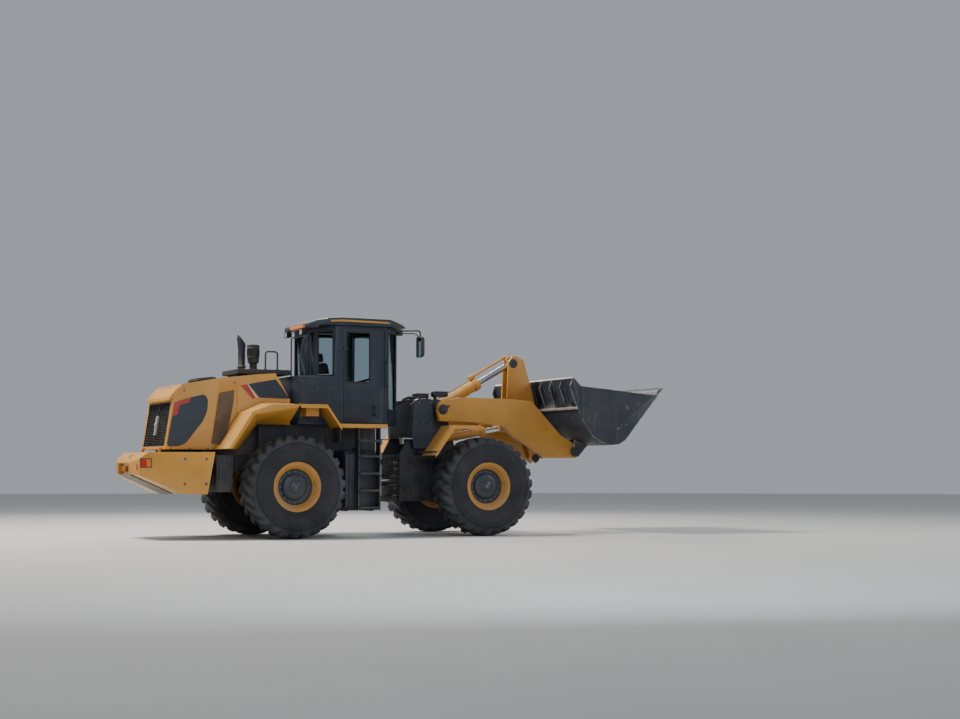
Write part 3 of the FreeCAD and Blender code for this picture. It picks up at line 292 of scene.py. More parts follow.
def finishOf(name, own):
    # two tones, dust on what faces up and lies low, streaks, grain and worn edges
    look = {**weather, **own}
    made, tree, shader, place = newFinish(name)
    facing = addNode(tree, "SeparateXYZ", {0: addNode(tree, "NewGeometry").outputs["Normal"]})
    height = addNode(tree, "SeparateXYZ", {0: place}).outputs["Z"]
    tone = mixed(tree, patches(tree, place, look["toneScale"], 0.35, 0.65),
                 look["colour"] + (1,), look["second"] + (1,))
    broad = patches(tree, place, 3.1, 0.32, 0.72)
    fine = patches(tree, place, 46.0, 0.30, 0.75, 6.0, 0.7)
    blotch = times(tree, broad, ranged(tree, fine, 0.0, 1.0, (0.45, 1.0)))
    top = ranged(tree, facing.outputs["Z"], 0.15, 0.95, (0.0, look["upDust"]))
    low = ranged(tree, height, look["dirtTop"], 0.3, (0.0, look["lowDust"]))
    cover = times(tree, added(tree, added(tree, top, low), look["haze"]), blotch)
    stretch = addNode(tree, "Mapping", {"Vector": place, "Scale": (26.0, 26.0, 1.4)})
    streak = patches(tree, stretch.outputs["Vector"], 1.0, 0.52, 0.78)
    cover = added(tree, cover, times(tree, streak, look["streak"]))
    colour = mixed(tree, cover, tone, look["dust"] + (1,))
    if look["wear"]:
        colour = scraped(tree, shader, place, colour, look)
    else:
        shader.inputs["Metallic"].default_value = look["metallic"]
    tree.links.new(colour, shader.inputs["Base Color"])
    tree.links.new(ranged(tree, cover, 0.0, 0.6, (look["roughness"], 0.92)), shader.inputs["Roughness"])
    grain = addNode(tree, "TexNoise", {"Vector": place, "Scale": look["grainScale"], "Detail": 3.0})
    bump = addNode(tree, "Bump", {"Height": grain.outputs["Fac"], "Strength": look["grain"],
                                  "Distance": look["depth"]})
    tree.links.new(bump.outputs["Normal"], shader.inputs["Normal"])
    shader.inputs["Coat Weight"].default_value = look["coat"]
    shader.inputs["Coat Roughness"].default_value = 0.25
    made.diffuse_color = look["colour"] + (1,)
    return made


def glassOf(name, look):
    made, tree, shader, place = newFinish(name)
    film = patches(tree, place, 2.5, 0.40, 0.75, 7.0, 0.65)
    gloss = ranged(tree, film, 0.0, 1.0, (look["roughness"], look["roughness"] + 0.12))
    tree.links.new(gloss, shader.inputs["Roughness"])
    shader.inputs["Base Color"].default_value = look["colour"] + (1,)
    shader.inputs["IOR"].default_value = look.get("ior", 1.45)
    shader.inputs["Transmission Weight"].default_value = look["clear"]
    return made


paint = finishOf("bodyPaint", {
    "colour": (0.60, 0.285, 0.030), "second": (0.53, 0.245, 0.025), "roughness": 0.42, "coat": 0.15,
    "upDust": 0.40, "lowDust": 0.30, "dirtTop": 1.4, "haze": 0.10, "grain": 0.08})
armPaint = finishOf("armPaint", {
    "colour": (0.58, 0.270, 0.030), "second": (0.50, 0.225, 0.025), "roughness": 0.45,
    "upDust": 0.35, "lowDust": 0.2, "haze": 0.14, "streak": 0.16,
    "wear": 0.5, "wearWidth": 0.012, "bare": (0.22, 0.19, 0.16)})
rimPaint = finishOf("rimPaint", {
    "colour": (0.52, 0.245, 0.030), "second": (0.42, 0.190, 0.025), "roughness": 0.5,
    "lowDust": 0.35, "haze": 0.20, "streak": 0.1, "grain": 0.15,
    "wear": 0.5, "wearWidth": 0.010, "bare": (0.18, 0.10, 0.05)})
charcoal = finishOf("cabPaint", {
    "colour": (0.006, 0.015, 0.030), "second": (0.009, 0.021, 0.039), "roughness": 0.40, "coat": 0.15,
    "upDust": 0.20, "lowDust": 0.12, "haze": 0.045, "streak": 0.04, "grain": 0.06})
frameSteel = finishOf("framePaint", {
    "colour": (0.006, 0.012, 0.022), "second": (0.011, 0.018, 0.029), "roughness": 0.55, "upDust": 0.55,
    "lowDust": 0.30, "dirtTop": 1.3, "haze": 0.10, "streak": 0.2, "grain": 0.25, "grainScale": 90.0})
castIron = finishOf("castBlock", {
    "colour": (0.05, 0.05, 0.052), "second": (0.08, 0.075, 0.07), "roughness": 0.7,
    "upDust": 0.8, "haze": 0.3, "grain": 0.4, "grainScale": 70.0})
bucketSteel = finishOf("bucketSteel", {
    "colour": (0.008, 0.016, 0.029), "second": (0.014, 0.024, 0.038), "roughness": 0.5, "upDust": 0.45,
    "lowDust": 0.1, "haze": 0.10, "streak": 0.09, "grain": 0.3, "grainScale": 60.0, "depth": 0.006,
    "wear": 1.0, "wearWidth": 0.022, "wearScale": 9.0, "rub": 0.38, "bare": (0.50, 0.48, 0.46)})
wornSteel = finishOf("wornSteel", {
    "colour": (0.62, 0.61, 0.60), "second": (0.48, 0.46, 0.44), "roughness": 0.38, "metallic": 0.55,
    "upDust": 0.10, "lowDust": 0.0, "haze": 0.04, "grain": 0.3, "grainScale": 50.0})
greyPlate = finishOf("greyPlate", {
    "colour": (0.19, 0.185, 0.18), "second": (0.14, 0.135, 0.13), "roughness": 0.7,
    "upDust": 0.3, "lowDust": 0.2, "haze": 0.15, "grain": 0.2})
edgeSteel = finishOf("cuttingEdge", {
    "colour": (0.46, 0.45, 0.44), "second": (0.33, 0.31, 0.30), "roughness": 0.40, "metallic": 0.85,
    "upDust": 0.25, "lowDust": 0.1, "haze": 0.10, "streak": 0.25, "grain": 0.4, "grainScale": 50.0})
rubber = finishOf("tyreRubber", {
    "colour": (0.010, 0.012, 0.016), "second": (0.017, 0.018, 0.023), "roughness": 0.78, "upDust": 0.22,
    "lowDust": 0.20, "dirtTop": 1.9, "haze": 0.26, "streak": 0.04, "grain": 0.45, "grainScale": 120.0,
    "dust": (0.085, 0.085, 0.093)})
treadRubber = finishOf("treadRubber", {
    "colour": (0.016, 0.018, 0.022), "second": (0.026, 0.028, 0.032), "roughness": 0.85, "upDust": 0.35,
    "lowDust": 0.25, "dirtTop": 1.9, "haze": 0.62, "streak": 0.02, "grain": 0.5, "grainScale": 110.0,
    "dust": (0.115, 0.118, 0.130)})
blackPlastic = finishOf("blackPlastic", {
    "colour": (0.010, 0.011, 0.014), "second": (0.016, 0.017, 0.020), "roughness": 0.55,
    "upDust": 0.25, "lowDust": 0.15, "haze": 0.05, "grain": 0.3, "grainScale": 320.0})
hoseRubber = finishOf("hoseRubber", {
    "colour": (0.012, 0.012, 0.013), "second": (0.02, 0.02, 0.02), "roughness": 0.6,
    "lowDust": 0.4, "haze": 0.2, "grain": 0.3, "grainScale": 240.0})
chrome = finishOf("rodChrome", {
    "colour": (0.62, 0.63, 0.65), "second": (0.55, 0.56, 0.58), "roughness": 0.12, "metallic": 1.0,
    "upDust": 0.15, "lowDust": 0.1, "haze": 0.05, "streak": 0.1, "grain": 0.02})
boltSteel = finishOf("boltSteel", {
    "colour": (0.16, 0.15, 0.14), "second": (0.10, 0.085, 0.07), "roughness": 0.5, "metallic": 0.7,
    "haze": 0.3, "grain": 0.2})
ventDust = finishOf("ventMesh", {
    "colour": (0.12, 0.075, 0.042), "second": (0.20, 0.13, 0.08), "roughness": 0.75,
    "upDust": 0.6, "lowDust": 0.4, "haze": 0.5, "grain": 0.5, "grainScale": 150.0})
redPaint = finishOf("redAccent", {
    "colour": (0.42, 0.022, 0.018), "second": (0.36, 0.018, 0.015), "roughness": 0.4,
    "upDust": 0.3, "lowDust": 0.3, "grain": 0.05})
whitePaint = finishOf("whiteAccent", {
    "colour": (0.72, 0.70, 0.66), "second": (0.62, 0.60, 0.56), "roughness": 0.45,
    "upDust": 0.3, "lowDust": 0.3, "haze": 0.15, "grain": 0.05})
seatCloth = finishOf("seatCloth", {
    "colour": (0.030, 0.032, 0.036), "second": (0.045, 0.047, 0.052), "roughness": 0.9,
    "upDust": 0.15, "lowDust": 0.0, "haze": 0.05, "grain": 0.8, "grainScale": 420.0})
cabGlass = glassOf("cabGlass", {"colour": (0.62, 0.72, 0.76), "roughness": 0.02, "clear": 1.0, "ior": 1.12})
lampGlass = glassOf("lampGlass", {"colour": (0.93, 0.93, 0.90), "roughness": 0.05, "clear": 0.75})
amberLens = glassOf("amberLens", {"colour": (0.95, 0.30, 0.03), "roughness": 0.12, "clear": 0.35})
redLens = glassOf("redLens", {"colour": (0.75, 0.03, 0.02), "roughness": 0.15, "clear": 0.3})
mirrorGlass = finishOf("mirrorGlass", {
    "colour": (0.75, 0.77, 0.80), "second": (0.72, 0.74, 0.77), "roughness": 0.03, "metallic": 1.0,
    "upDust": 0.1, "lowDust": 0.0, "haze": 0.03, "streak": 0.0, "grain": 0.0})
print("finishes ready")


# Wheels: each wheel's pieces are drawn at its own centre, the outer side toward -y

tyreLook = {
    "radius": 0.806, "tread": 0.764, "half": 0.2965, "lugs": 26, "share": 0.62, "lead": 0.16, "wall": 0.014,
    "sides": 104, "blockRows": (0.2, 2.3, 4.4), "blocks": 9, "blockPitch": 0.085, "blockRadii": (0.540, 0.562),
    # sidewall: radius and depth below the tyre's half width
    "side": [(0.694, 0.006), (0.680, 0.002), (0.672, 0.008), (0.664, 0.001), (0.640, 0), (0.600, 0),
             (0.594, -0.003), (0.575, -0.003), (0.569, 0.001), (0.530, 0.008), (0.500, 0.016), (0.470, 0.028),
             (0.452, 0.034), (0.446, 0.030), (0.436, 0.030), (0.430, 0.038), (0.412, 0.046), (0.396, 0.052),
             (0.388, 0.060), (0.372, 0.061)]}


def tyreRing(radius, offset, steps):
    return [(radius * math.cos(t), offset, radius * math.sin(t)) for t in steps]


def tyreForm():
    # lugs and gaps, ring by ring from one shoulder to the other
    half, tread, radius = tyreLook["half"], tyreLook["tread"], tyreLook["radius"]
    wall, pitch = tyreLook["wall"], 2 * math.pi / tyreLook["lugs"]
    lug, edge = tyreLook["share"] * pitch, half - 0.034
    rows = [(half - 0.006, 0.690, 0.694), (half - 0.012, 0.716, 0.762), (edge, tread - 0.026, radius - 0.016),
            (edge - 0.02, tread - 0.010, radius - 0.009), (0.16, tread - 0.004, radius - 0.005),
            (0.08, tread, radius - 0.001), (0.0, tread, radius)]
    rows += [(-offset, low, high) for offset, low, high in reversed(rows[:-1])]
    rings = []
    for offset, low, high in rows:
        lead = -tyreLook["lead"] * (1 - abs(offset) / edge)
        mid = (low + high) / 2
        ring = []
        for i in range(tyreLook["lugs"]):
            start = i * pitch + lead
            end = start + lug
            for t, r in ((start - wall * 0.5, low), (start + wall * 0.4, mid), (start + wall, high - 0.003),
                         (start + wall * 1.7, high), ((start + end) / 2, high + 0.0005),
                         (end - wall * 1.7, high), (end - wall, high - 0.003), (end - wall * 0.4, mid),
                         (end + wall * 0.5, low), (end + (pitch - lug) / 2, low)):
                ring += tyreRing(r, offset, [t])
        rings.append(ring)
    return ringed(rings, capped=False)


def sidewallForm(side):
    steps = turns(tyreLook["sides"])
    return ringed([tyreRing(radius, side * (tyreLook["half"] - depth), steps)
                   for radius, depth in tyreLook["side"]], capped=False)


def plainBlocks(side):
    # raised blocks on the sidewall
    blocks = []
    for base in tyreLook["blockRows"]:
        for k in range(tyreLook["blocks"]):
            turn = base + k * tyreLook["blockPitch"]
            rings = []
            for radius, drop in zip(tyreLook["blockRadii"], (0.008, 0.004)):
                rings.append([tyreRing(radius, side * (tyreLook["half"] - drop + d), [turn + t])[0]
                              for t, d in ((0, -0.010), (0.05, -0.010), (0.05, 0.0015), (0, 0.0015))])
            blocks.append(ringed(rings))
    return joined(*blocks)


rimLook = {"flange": 0.390, "lip": 0.014, "face": 0.237, "well": 0.300, "hub": 0.205, "bolts": 16, "sides": 72,
           "boltCircle": 0.243, "coverBolts": 12, "coverCircle": 0.122, "valve": (0.300, -0.15, 0.05)}


def rimForms():
    face, flange, well, hubEdge = rimLook["face"], rimLook["flange"], rimLook["well"], rimLook["hub"]
    steps = turns(rimLook["sides"])
    front = [(0.345, 0.235), (0.345, 0.180), (0.385, 0.231), (flange - 0.004, face + 0.001),
             (flange, face + 0.006), (flange, face + 0.011), (flange - 0.005, face + rimLook["lip"]),
             (0.376, face + 0.012), (0.368, face + 0.004), (0.352, face), (0.340, face - 0.010),
             (0.330, face - 0.014), (0.318, face - 0.030), (0.306, face - 0.060), (0.296, face - 0.072),
             (well - 0.012, face - 0.078), (well - 0.016, face - 0.100), (0.282, face - 0.135)]
    back = [(0.345, 0.10), (0.345, 0.22), (0.350, face), (flange, face), (flange, face + 0.012),
            (0.372, face + 0.012), (0.345, face - 0.02), (0.285, face - 0.072), (0.283, 0.05)]
    band = [(0.345, -0.22), (0.345, 0.22)]
    shells = [ringed([tyreRing(radius, side * offset, steps) for radius, offset in line], capped=False)
              for line, side in ((front, -1), (back, 1), (band, 1))]
    disc = turned([(0, 0.284), (0.016, 0.284), (0.018, 0.270), (0.018, hubEdge + 0.02), (0.014, hubEdge + 0.012),
                   (0.014, hubEdge)], (0, -0.094, 0), outward, rimLook["sides"])
    hub = turned([(0, 0.200), (0.030, 0.200), (0.038, 0.192), (0.048, 0.150), (0.052, 0.100), (0.060, 0.094),
                  (0.066, 0.084), (0.070, 0.050), (0.072, 0.046)], (0, -0.105, 0), outward, 64)
    plug = turned([(0, 0.030), (0.006, 0.030), (0.008, 0.026)], (0, -0.176, 0), outward, 6)
    nuts = boltHeads(around((0, -0.111, 0), rimLook["boltCircle"], rimLook["bolts"]), outward, 0.014, 0.018)
    cover = boltHeads(around((0, -0.150, 0), rimLook["coverCircle"], rimLook["coverBolts"], start=0.2),
                      outward, 0.008, 0.007)
    valve = turned([(0, 0.010), (0.03, 0.010), (0.032, 0.006), (0.06, 0.006)], rimLook["valve"], outward, 10)
    return {"ring": joined(*shells), "hub": joined(disc, hub), "nuts": joined(nuts, cover, plug, valve)}


def addWheel(end, hand):
    place = Matrix.Translation((axleX[end], middleOf("tyre_" + end + "_" + hand).y, 0.808))
    body, tag = "wheel_" + end + "_" + hand, end.capitalize() + hand.capitalize()
    tyre, rim = ["tyre_" + end + "_" + hand], ["rim_" + end + "_" + hand]
    for name, form, finish, slot, stands, crease in (
            ("tyreTread", tread, treadRubber, "tyre_rubber", tyre, 38),
            ("tyreWalls", walls, rubber, "tyre_rubber", (), 38),
            ("rimRing", rims["ring"], rimPaint, "yellow", rim, 40),
            ("wheelHub", rims["hub"], charcoal, "dark_frame", (), 35),
            ("wheelNuts", rims["nuts"], boltSteel, None, (), 35)):
        form = moved(flipped(form) if hand == "left" else form, place)
        addPiece(name + tag, form, finish, body, stands, crease=crease)


tread = tyreForm()
walls = joined(sidewallForm(-1), sidewallForm(1), plainBlocks(-1), plainBlocks(1))
rims = rimForms()
for end in ("rear", "front"):
    for hand in ("right", "left"):
        addWheel(end, hand)
print("wheels done")


# Hood: panels, vents and trims on the sides

hoodLook = {
    "tail": [(-3.449, 2.114), (-3.200, 2.195), (-2.987, 2.248), (-2.925, 2.174), (-2.933, 1.989),
             (-2.999, 1.836), (-3.271, 1.482), (-3.373, 1.439), (-3.567, 1.430)],
    "red": [(-3.452, 2.110), (-3.200, 2.193), (-3.212, 2.120), (-3.372, 2.072), (-3.405, 1.925), (-3.486, 1.900)],
    "front": [(-2.285, 2.420), (-1.836, 2.505), (-1.603, 2.200), (-2.099, 2.210)],
    "stripe": [(-2.408, 2.394), (-2.300, 2.416), (-2.168, 2.208), (-2.206, 2.186)],
    "line": [(-2.294, 2.417), (-2.280, 2.419), (-2.130, 2.208), (-2.152, 2.208)],
    "seam": [(-2.47, 2.40), (-2.455, 2.10), (-2.60, 1.40)],
    "bolts": [(-3.50, 1.405), (-3.20, 1.405), (-2.92, 1.405), (-2.50, 2.44), (-2.06, 2.13), (-1.70, 2.13),
              (-3.30, 2.30)]}
ventLook = {"edge": [(-2.874, 1.468), (-2.648, 1.453), (-2.516, 2.116), (-2.505, 2.330), (-2.753, 2.278)],
            "rows": 34, "foot": 1.475, "pitch": 0.0247, "margin": 0.012, "wire": 0.004, "uprights": 9, "rim": 0.007}


def hoodSide(x):
    # half width of the hood, wider toward the front
    return 0.715 + 0.085 * (x + 3.8) / 2.4


def onHood(outline, inner, outer):
    # plate along the near side of the hood, between two depths out of its skin
    return prism(*[[(x, -(hoodSide(x) + depth), z) for x, z in outline] for depth in (inner, outer)])


def alongHood(points, out):
    return [(x, -(hoodSide(x) + out), z) for x, z in points]


def acrossAt(outline, z):
    # left and right of an outline at a height
    hits = []
    for (x0, z0), (x1, z1) in zip(outline, outline[1:] + outline[:1]):
        if (z0 - z) * (z1 - z) < 0:
            hits.append(x0 + (x1 - x0) * (z - z0) / (z1 - z0))
    return (min(hits), max(hits)) if hits else None


def ventForms():
    wire, margin = ventLook["wire"], ventLook["margin"]
    forms = [onHood(ventLook["edge"], -0.020, -0.010)]
    for i in range(ventLook["rows"]):
        z = ventLook["foot"] + i * ventLook["pitch"]
        reach = acrossAt(ventLook["edge"], z)
        if reach:
            forms.append(onHood(oblong(reach[0] + margin, reach[1] - margin, z - wire, z + wire), -0.010, 0.001))
    for i in range(ventLook["uprights"]):
        share = (i + 1) / (ventLook["uprights"] + 1)
        foot, top = (-2.874 + 0.226 * share, 1.474), (-2.753 + 0.248 * share, 2.280 + 0.04 * share)
        forms.append(onHood([foot, (foot[0] + 0.006, foot[1]), (top[0] + 0.006, top[1]), top], -0.012, -0.002))
    return forms


addPiece("hoodPanels", bothSides(onHood(softCorners(hoodLook["tail"], 0.06), 0.0, 0.008),
                                 onHood(softCorners(hoodLook["front"], 0.02), 0.0, 0.008)),
         charcoal, "hood", ["hood_panels"], bevel=0.002)
addPiece("hoodRedTrim", bothSides(onHood(hoodLook["red"], 0.0, 0.0095), onHood(hoodLook["stripe"], 0.0, 0.0022)),
         redPaint, "hood")
addPiece("hoodWhiteLine", bothSides(onHood(hoodLook["line"], 0.0, 0.0024)), whitePaint, "hood")
addPiece("hoodVentMesh", bothSides(*ventForms()), ventDust, "hood", ["hood_vents"])
rimPoints = alongHood(softCorners(ventLook["edge"], 0.03), 0.001)
addPiece("hoodVentRim", bothSides(pipe(rimPoints + rimPoints[:2], ventLook["rim"], 0, 6)), paint, "hood")
addPiece("hoodSeams", bothSides(pipe(alongHood(hoodLook["seam"], -0.0005), 0.0028, 0.03, 6)),
         blackPlastic, "hood")

# Tail grille, its latch and the vent on top

grilleLook = {"low": 1.440, "high": 2.130, "half": 0.640, "foot": -3.590, "footZ": 1.390, "lean": 0.15,
              "slats": 26, "bars": 15, "bar": 0.005, "posts": (-0.640, -0.012, 0.616), "post": 0.024,
              "edge": 0.02, "deep": 0.03}
latchLook = {"low": 1.62, "high": 1.92, "half": 0.038, "proud": 0.022, "knob": 1.78}
topVentLook = {"cap": [(-2.965, 2.478), (-2.955, 2.518), (-2.670, 2.548), (-2.655, 2.512)], "half": 0.300,
               "legs": (-0.26, 0.24), "slats": 7, "first": -2.932, "pitch": 0.036, "slope": 0.1053, "reach": 0.262}


def tailFace(z):
    # x of the leaning tail at a height
    return grilleLook["foot"] + grilleLook["lean"] * (z - grilleLook["footZ"])


def upTail(z0, z1, front, back):
    # side outline between two heights and two depths into the tail
    return [(tailFace(z0) + front, z0), (tailFace(z1) + front, z1), (tailFace(z1) + back, z1),
            (tailFace(z0) + back, z0)]


def grilleForms():
    low, high, half, deep = [grilleLook[key] for key in ("low", "high", "half", "deep")]
    forms = []
    for i in range(grilleLook["slats"]):
        z = low + 0.016 + (high - low - 0.03) * i / (grilleLook["slats"] - 1)
        x = tailFace(z)
        forms.append(slab([(x + 0.006, z - 0.004), (x + deep, z + 0.006), (x + deep, z + 0.010), (x + 0.006, z)],
                          -half, half))
    for i in range(grilleLook["bars"]):
        y = -half + 2 * half * i / (grilleLook["bars"] - 1)
        forms.append(slab(upTail(low, high, 0.010, 0.026), max(y - grilleLook["bar"], -half),
                          min(y + grilleLook["bar"], half)))
    for y in grilleLook["posts"]:
        forms.append(slab(upTail(low, high, -0.002, deep), y, y + grilleLook["post"]))
    for z, z0, z1 in ((low, low, low + grilleLook["edge"]), (high, high - grilleLook["edge"], high)):
        forms.append(slab(oblong(tailFace(z), tailFace(z) + deep, z0, z1), -half, half))
    return forms


addPiece("tailGrille", joined(*grilleForms()), blackPlastic, "hood", ["hood_grille"])
knob = turned([(0, 0.024), (0.016, 0.024), (0.020, 0.018)],
              (tailFace(latchLook["knob"]) - 0.020, 0, latchLook["knob"]), rearward, 20)
latchBar = slab(upTail(latchLook["low"], latchLook["high"], 0.010, -latchLook["proud"]),
                -latchLook["half"], latchLook["half"])
addPiece("tailLatch", joined(latchBar, knob), wornSteel, "hood", bevel=0.003)
ventCap = slab(topVentLook["cap"], -topVentLook["half"], topVentLook["half"])
ventLegs = [block((-2.955, -2.668), (y, y + 0.02), (2.470, 2.516)) for y in topVentLook["legs"]]
addPiece("hoodTopVent", joined(ventCap, *ventLegs), blackPlastic, "hood", bevel=0.012, segments=3)
ventSlats = []
for i in range(topVentLook["slats"]):
    x = topVentLook["first"] + topVentLook["pitch"] * i
    z = 2.518 + (x + 2.955) * topVentLook["slope"]
    ventSlats.append(slab([(x, z - 0.004), (x, z + 0.010), (x + 0.010, z + 0.012), (x + 0.024, z - 0.001)],
                          -topVentLook["reach"], topVentLook["reach"]))
addPiece("hoodVentSlats", joined(*ventSlats), blackPlastic, "hood", bevel=0.0015)
addPiece("hoodBolts", bothSides(boltHeads(alongHood(hoodLook["bolts"], 0.001), outward, 0.011, 0.008)),
         boltSteel, "hood")
print("hood done")


# Tail weight: lamps, reflectors and the recessed middle

weightLook = {"housing": (-3.975, -3.815, 1.105, 1.250), "stopLens": (-3.962, -3.895, 1.118, 1.237),
              "turnLens": (-3.890, -3.828, 1.118, 1.237), "reflectors": ((0.0, 1.06, 1.17), (0.012, 1.065, 1.165)),
              "bottomHalf": 0.36, "lipHalf": 0.34, "middleBolts": (-0.29, -0.22, 0.22, 0.29)}


def onWing(x, out=0.0):
    # y on the near wing's slanted side
    return -(0.725 + (x + 3.995) * 0.434) - out


def wingPlate(sides, inner, outer):
    return ringed([[(x, onWing(x, depth), z) for x, z in oblong(*sides)] for depth in (inner, outer)])


addPiece("tailLampHousings", bothSides(wingPlate(weightLook["housing"], -0.02, 0.006)), blackPlastic,
         "rear_unit", bevel=0.004)
addPiece("tailLampLenses", bothSides(wingPlate(weightLook["stopLens"], 0.004, 0.010)), redLens,
         "rear_unit", bevel=0.004)
addPiece("tailTurnLenses", bothSides(wingPlate(weightLook["turnLens"], 0.004, 0.010)), amberLens,
         "rear_unit", bevel=0.004)
reflector = ringed([[(-3.99 - d, -0.69, z0), (-4.001 - d * 0.9, -0.64, z0), (-4.001 - d * 0.9, -0.64, z1),
                     (-3.99 - d, -0.69, z1)] for d, z0, z1 in weightLook["reflectors"]])
addPiece("tailReflectors", bothSides(reflector), redLens, "rear_unit")
bottom = slab([(-4.051, 1.008), (-3.36, 0.700), (-3.36, 0.693), (-4.051, 1.000)],
              -weightLook["bottomHalf"], weightLook["bottomHalf"])
lip = slab([(-4.0, 1.182), (-3.93, 1.24), (-3.93, 1.235), (-4.0, 1.176)],
           -weightLook["lipHalf"], weightLook["lipHalf"])
addPiece("tailMiddlePlates", joined(bottom, lip), greyPlate, "rear_unit", bevel=0.002)
liners = [block((-3.990, -3.975), y, (1.030, 1.165)) for y in ((-0.335, -0.112), (0.112, 0.335))]
liners.append(block((-3.830, -3.818), (-0.108, 0.108), (1.047, 1.133)))
addPiece("hitchLiners", joined(*liners), frameSteel, "rear_unit", bevel=0.002)
middleBolts = [(-4.001, y, z) for y in weightLook["middleBolts"] for z in (1.04, 1.15)]
wingBolts = [(x, onWing(x), z) for x in (-3.35, -3.05) for z in (0.86, 1.24)]
addPiece("tailBolts", joined(boltHeads(middleBolts, rearward, 0.014, 0.012),
                             bothSides(boltHeads(wingBolts, (-0.4, -0.9, 0), 0.016, 0.01))),
         boltSteel, "rear_unit")
print("tail weight done")


# Cab: gaskets, panels, roof trims, lamps, mirrors, rails

cabLook = {"rear": -1.083, "rearHalf": 0.500, "side": -0.830, "half": 0.780, "corner": 0.060, "front": 0.360,
           "noseHalf": 0.480, "backPane": 0.455, "nosePane": 0.425, "low": 2.605, "high": 3.310,
           "frontLow": 2.050, "gasket": 0.012}
doorLook = {"pane": (-0.64, -0.23, 2.49, 3.30), "seal": 0.013, "panel": (-0.60, -0.06, 1.90, 2.38),
            "handle": (-0.155, -0.783, -0.825, 1.96, 2.10), "lock": ((-0.19, -0.10), (-0.787, -0.778), (2.10, 2.20))}
sideLook = {"plates": [(-1.435, -1.195, 1.83, 2.555), (-1.180, -0.845, 1.83, 2.415), (-1.180, -0.845, 2.430, 2.555)],
            "catches": [((-1.40, -1.23), (2.50, 1.88)), ((-1.14, -0.88), (2.37, 1.88))], "out": -0.786}
roofLook = {"strip": [(-0.94, 3.478), (-0.75, 3.492), (0.05, 3.480), (0.09, 3.455), (0.05, 3.452),
                      (-0.75, 3.462), (-0.94, 3.450)], "hatch": (-0.72, -0.02, -0.36, 0.36),
            "bar": (-1.296, -1.252, 3.366, 3.420), "barEnds": (-0.500, 0.120)}
lampLook = {"half": (0.07, 0.05),  # x, y, z, facing along x, depth
            "spots": [(-1.190, -0.370, 3.309, -1, 0.096), (-1.190, 0.370, 3.309, -1, 0.096),
                      (0.395, -0.400, 3.350, 1, 0.078), (0.395, 0.400, 3.350, 1, 0.078)]}


def loop(points, radius):
    # closed pipe round an opening
    points = [Vector(p) for p in points]
    middle = (points[0] + points[-1]) / 2
    return pipe([middle] + points + [middle], radius, 0.03, 8)


def paneCorners(a, b, shares, low, high):
    # corners of an upright pane between two posts
    a, b = Vector(a), Vector(b)
    near, far = [a + (b - a) * share for share in shares]
    return [(end.x, end.y, z) for end, z in ((near, low), (far, low), (far, high), (near, high))]


def handle(x, wall, out, low, high):
    return [(x, wall, low), (x, out, low), (x, out, high), (x, wall, high)]


def lampForms(x, y, z, facing, depth):
    # housing with a deep bezel, and its lens
    wide, tall = lampLook["half"]
    return [ringed([[(x + facing * d, y + a * wide * s, z + b * tall * s) for a, b in oblong(-1, 1, -1, 1)]
                    for d, s in steps])
            for steps in (((0, 0.72), (depth * 0.5, 0.97), (depth, 1.0), (depth, 0.86), (depth - 0.012, 0.84)),
                          ((depth - 0.013, 0.84), (depth - 0.004, 0.83)))]


look = cabLook
quarter = paneCorners((look["rear"], -look["rearHalf"]), (look["side"], -look["half"]), (0.12, 0.88),
                      look["low"], look["high"])
corner = paneCorners((look["corner"], -look["half"]), (look["front"], -look["noseHalf"]), (0.12, 0.9),
                     look["frontLow"], look["high"])
back = [(look["rear"], y, z) for y, z in oblong(-look["backPane"], look["backPane"], look["low"], look["high"])]
nose = [(look["front"], y, z)
        for y, z in oblong(-look["nosePane"], look["nosePane"], look["frontLow"], look["high"])]
addPiece("cabGaskets", joined(bothSides(loop(quarter, look["gasket"]), loop(corner, look["gasket"])),
                              loop(back, look["gasket"]), loop(nose, look["gasket"])), blackPlastic, "rear_unit")
doorTrim = joined(loop([(x, -look["half"], z) for x, z in oblong(*doorLook["pane"])], doorLook["seal"]),
                  pipe(handle(*doorLook["handle"]), 0.010, 0.02), block(*doorLook["lock"]))
doorPanel = softPlate(doorLook["panel"], 0.03, -0.7825, -0.779)
for hand, turn in (("right", lambda form: form), ("left", flipped)):
    addPiece("doorTrim" + hand.capitalize(), turn(doorTrim), blackPlastic, "door_" + hand)
    addPiece("doorPanel" + hand.capitalize(), turn(doorPanel), charcoal, "door_" + hand, bevel=0.0015)
sidePlates = [softPlate(plate, 0.02, sideLook["out"], -0.778) for plate in sideLook["plates"]]
addPiece("cabSidePlates", bothSides(*sidePlates), charcoal, "rear_unit", bevel=0.002)
catches = [(x, sideLook["out"], z) for xs, zs in sideLook["catches"] for z in zs for x in xs]
addPiece("cabCatches", bothSides(boltHeads(catches, outward, 0.010, 0.006)), boltSteel, "rear_unit")
addPiece("roofStrip", bothSides(slab(roofLook["strip"], -0.8535, -0.849)), paint, "rear_unit")
addPiece("roofHatch", softPlate(roofLook["hatch"], 0.06, 3.515, 3.5295, "z"), charcoal, "rear_unit", bevel=0.004)
addPiece("beaconBar", softPlate(roofLook["bar"], 0.014, *roofLook["barEnds"]), amberLens, "rear_unit", bevel=0.004)
lampBodies, lampLenses = zip(*[lampForms(*spot) for spot in lampLook["spots"]])
addPiece("cabLampBodies", joined(*lampBodies), blackPlastic, "rear_unit", ["cab_lamps"],
         bevel=0.003)
addPiece("cabLampLenses", joined(*lampLenses), lampGlass, "rear_unit", bevel=0.002)

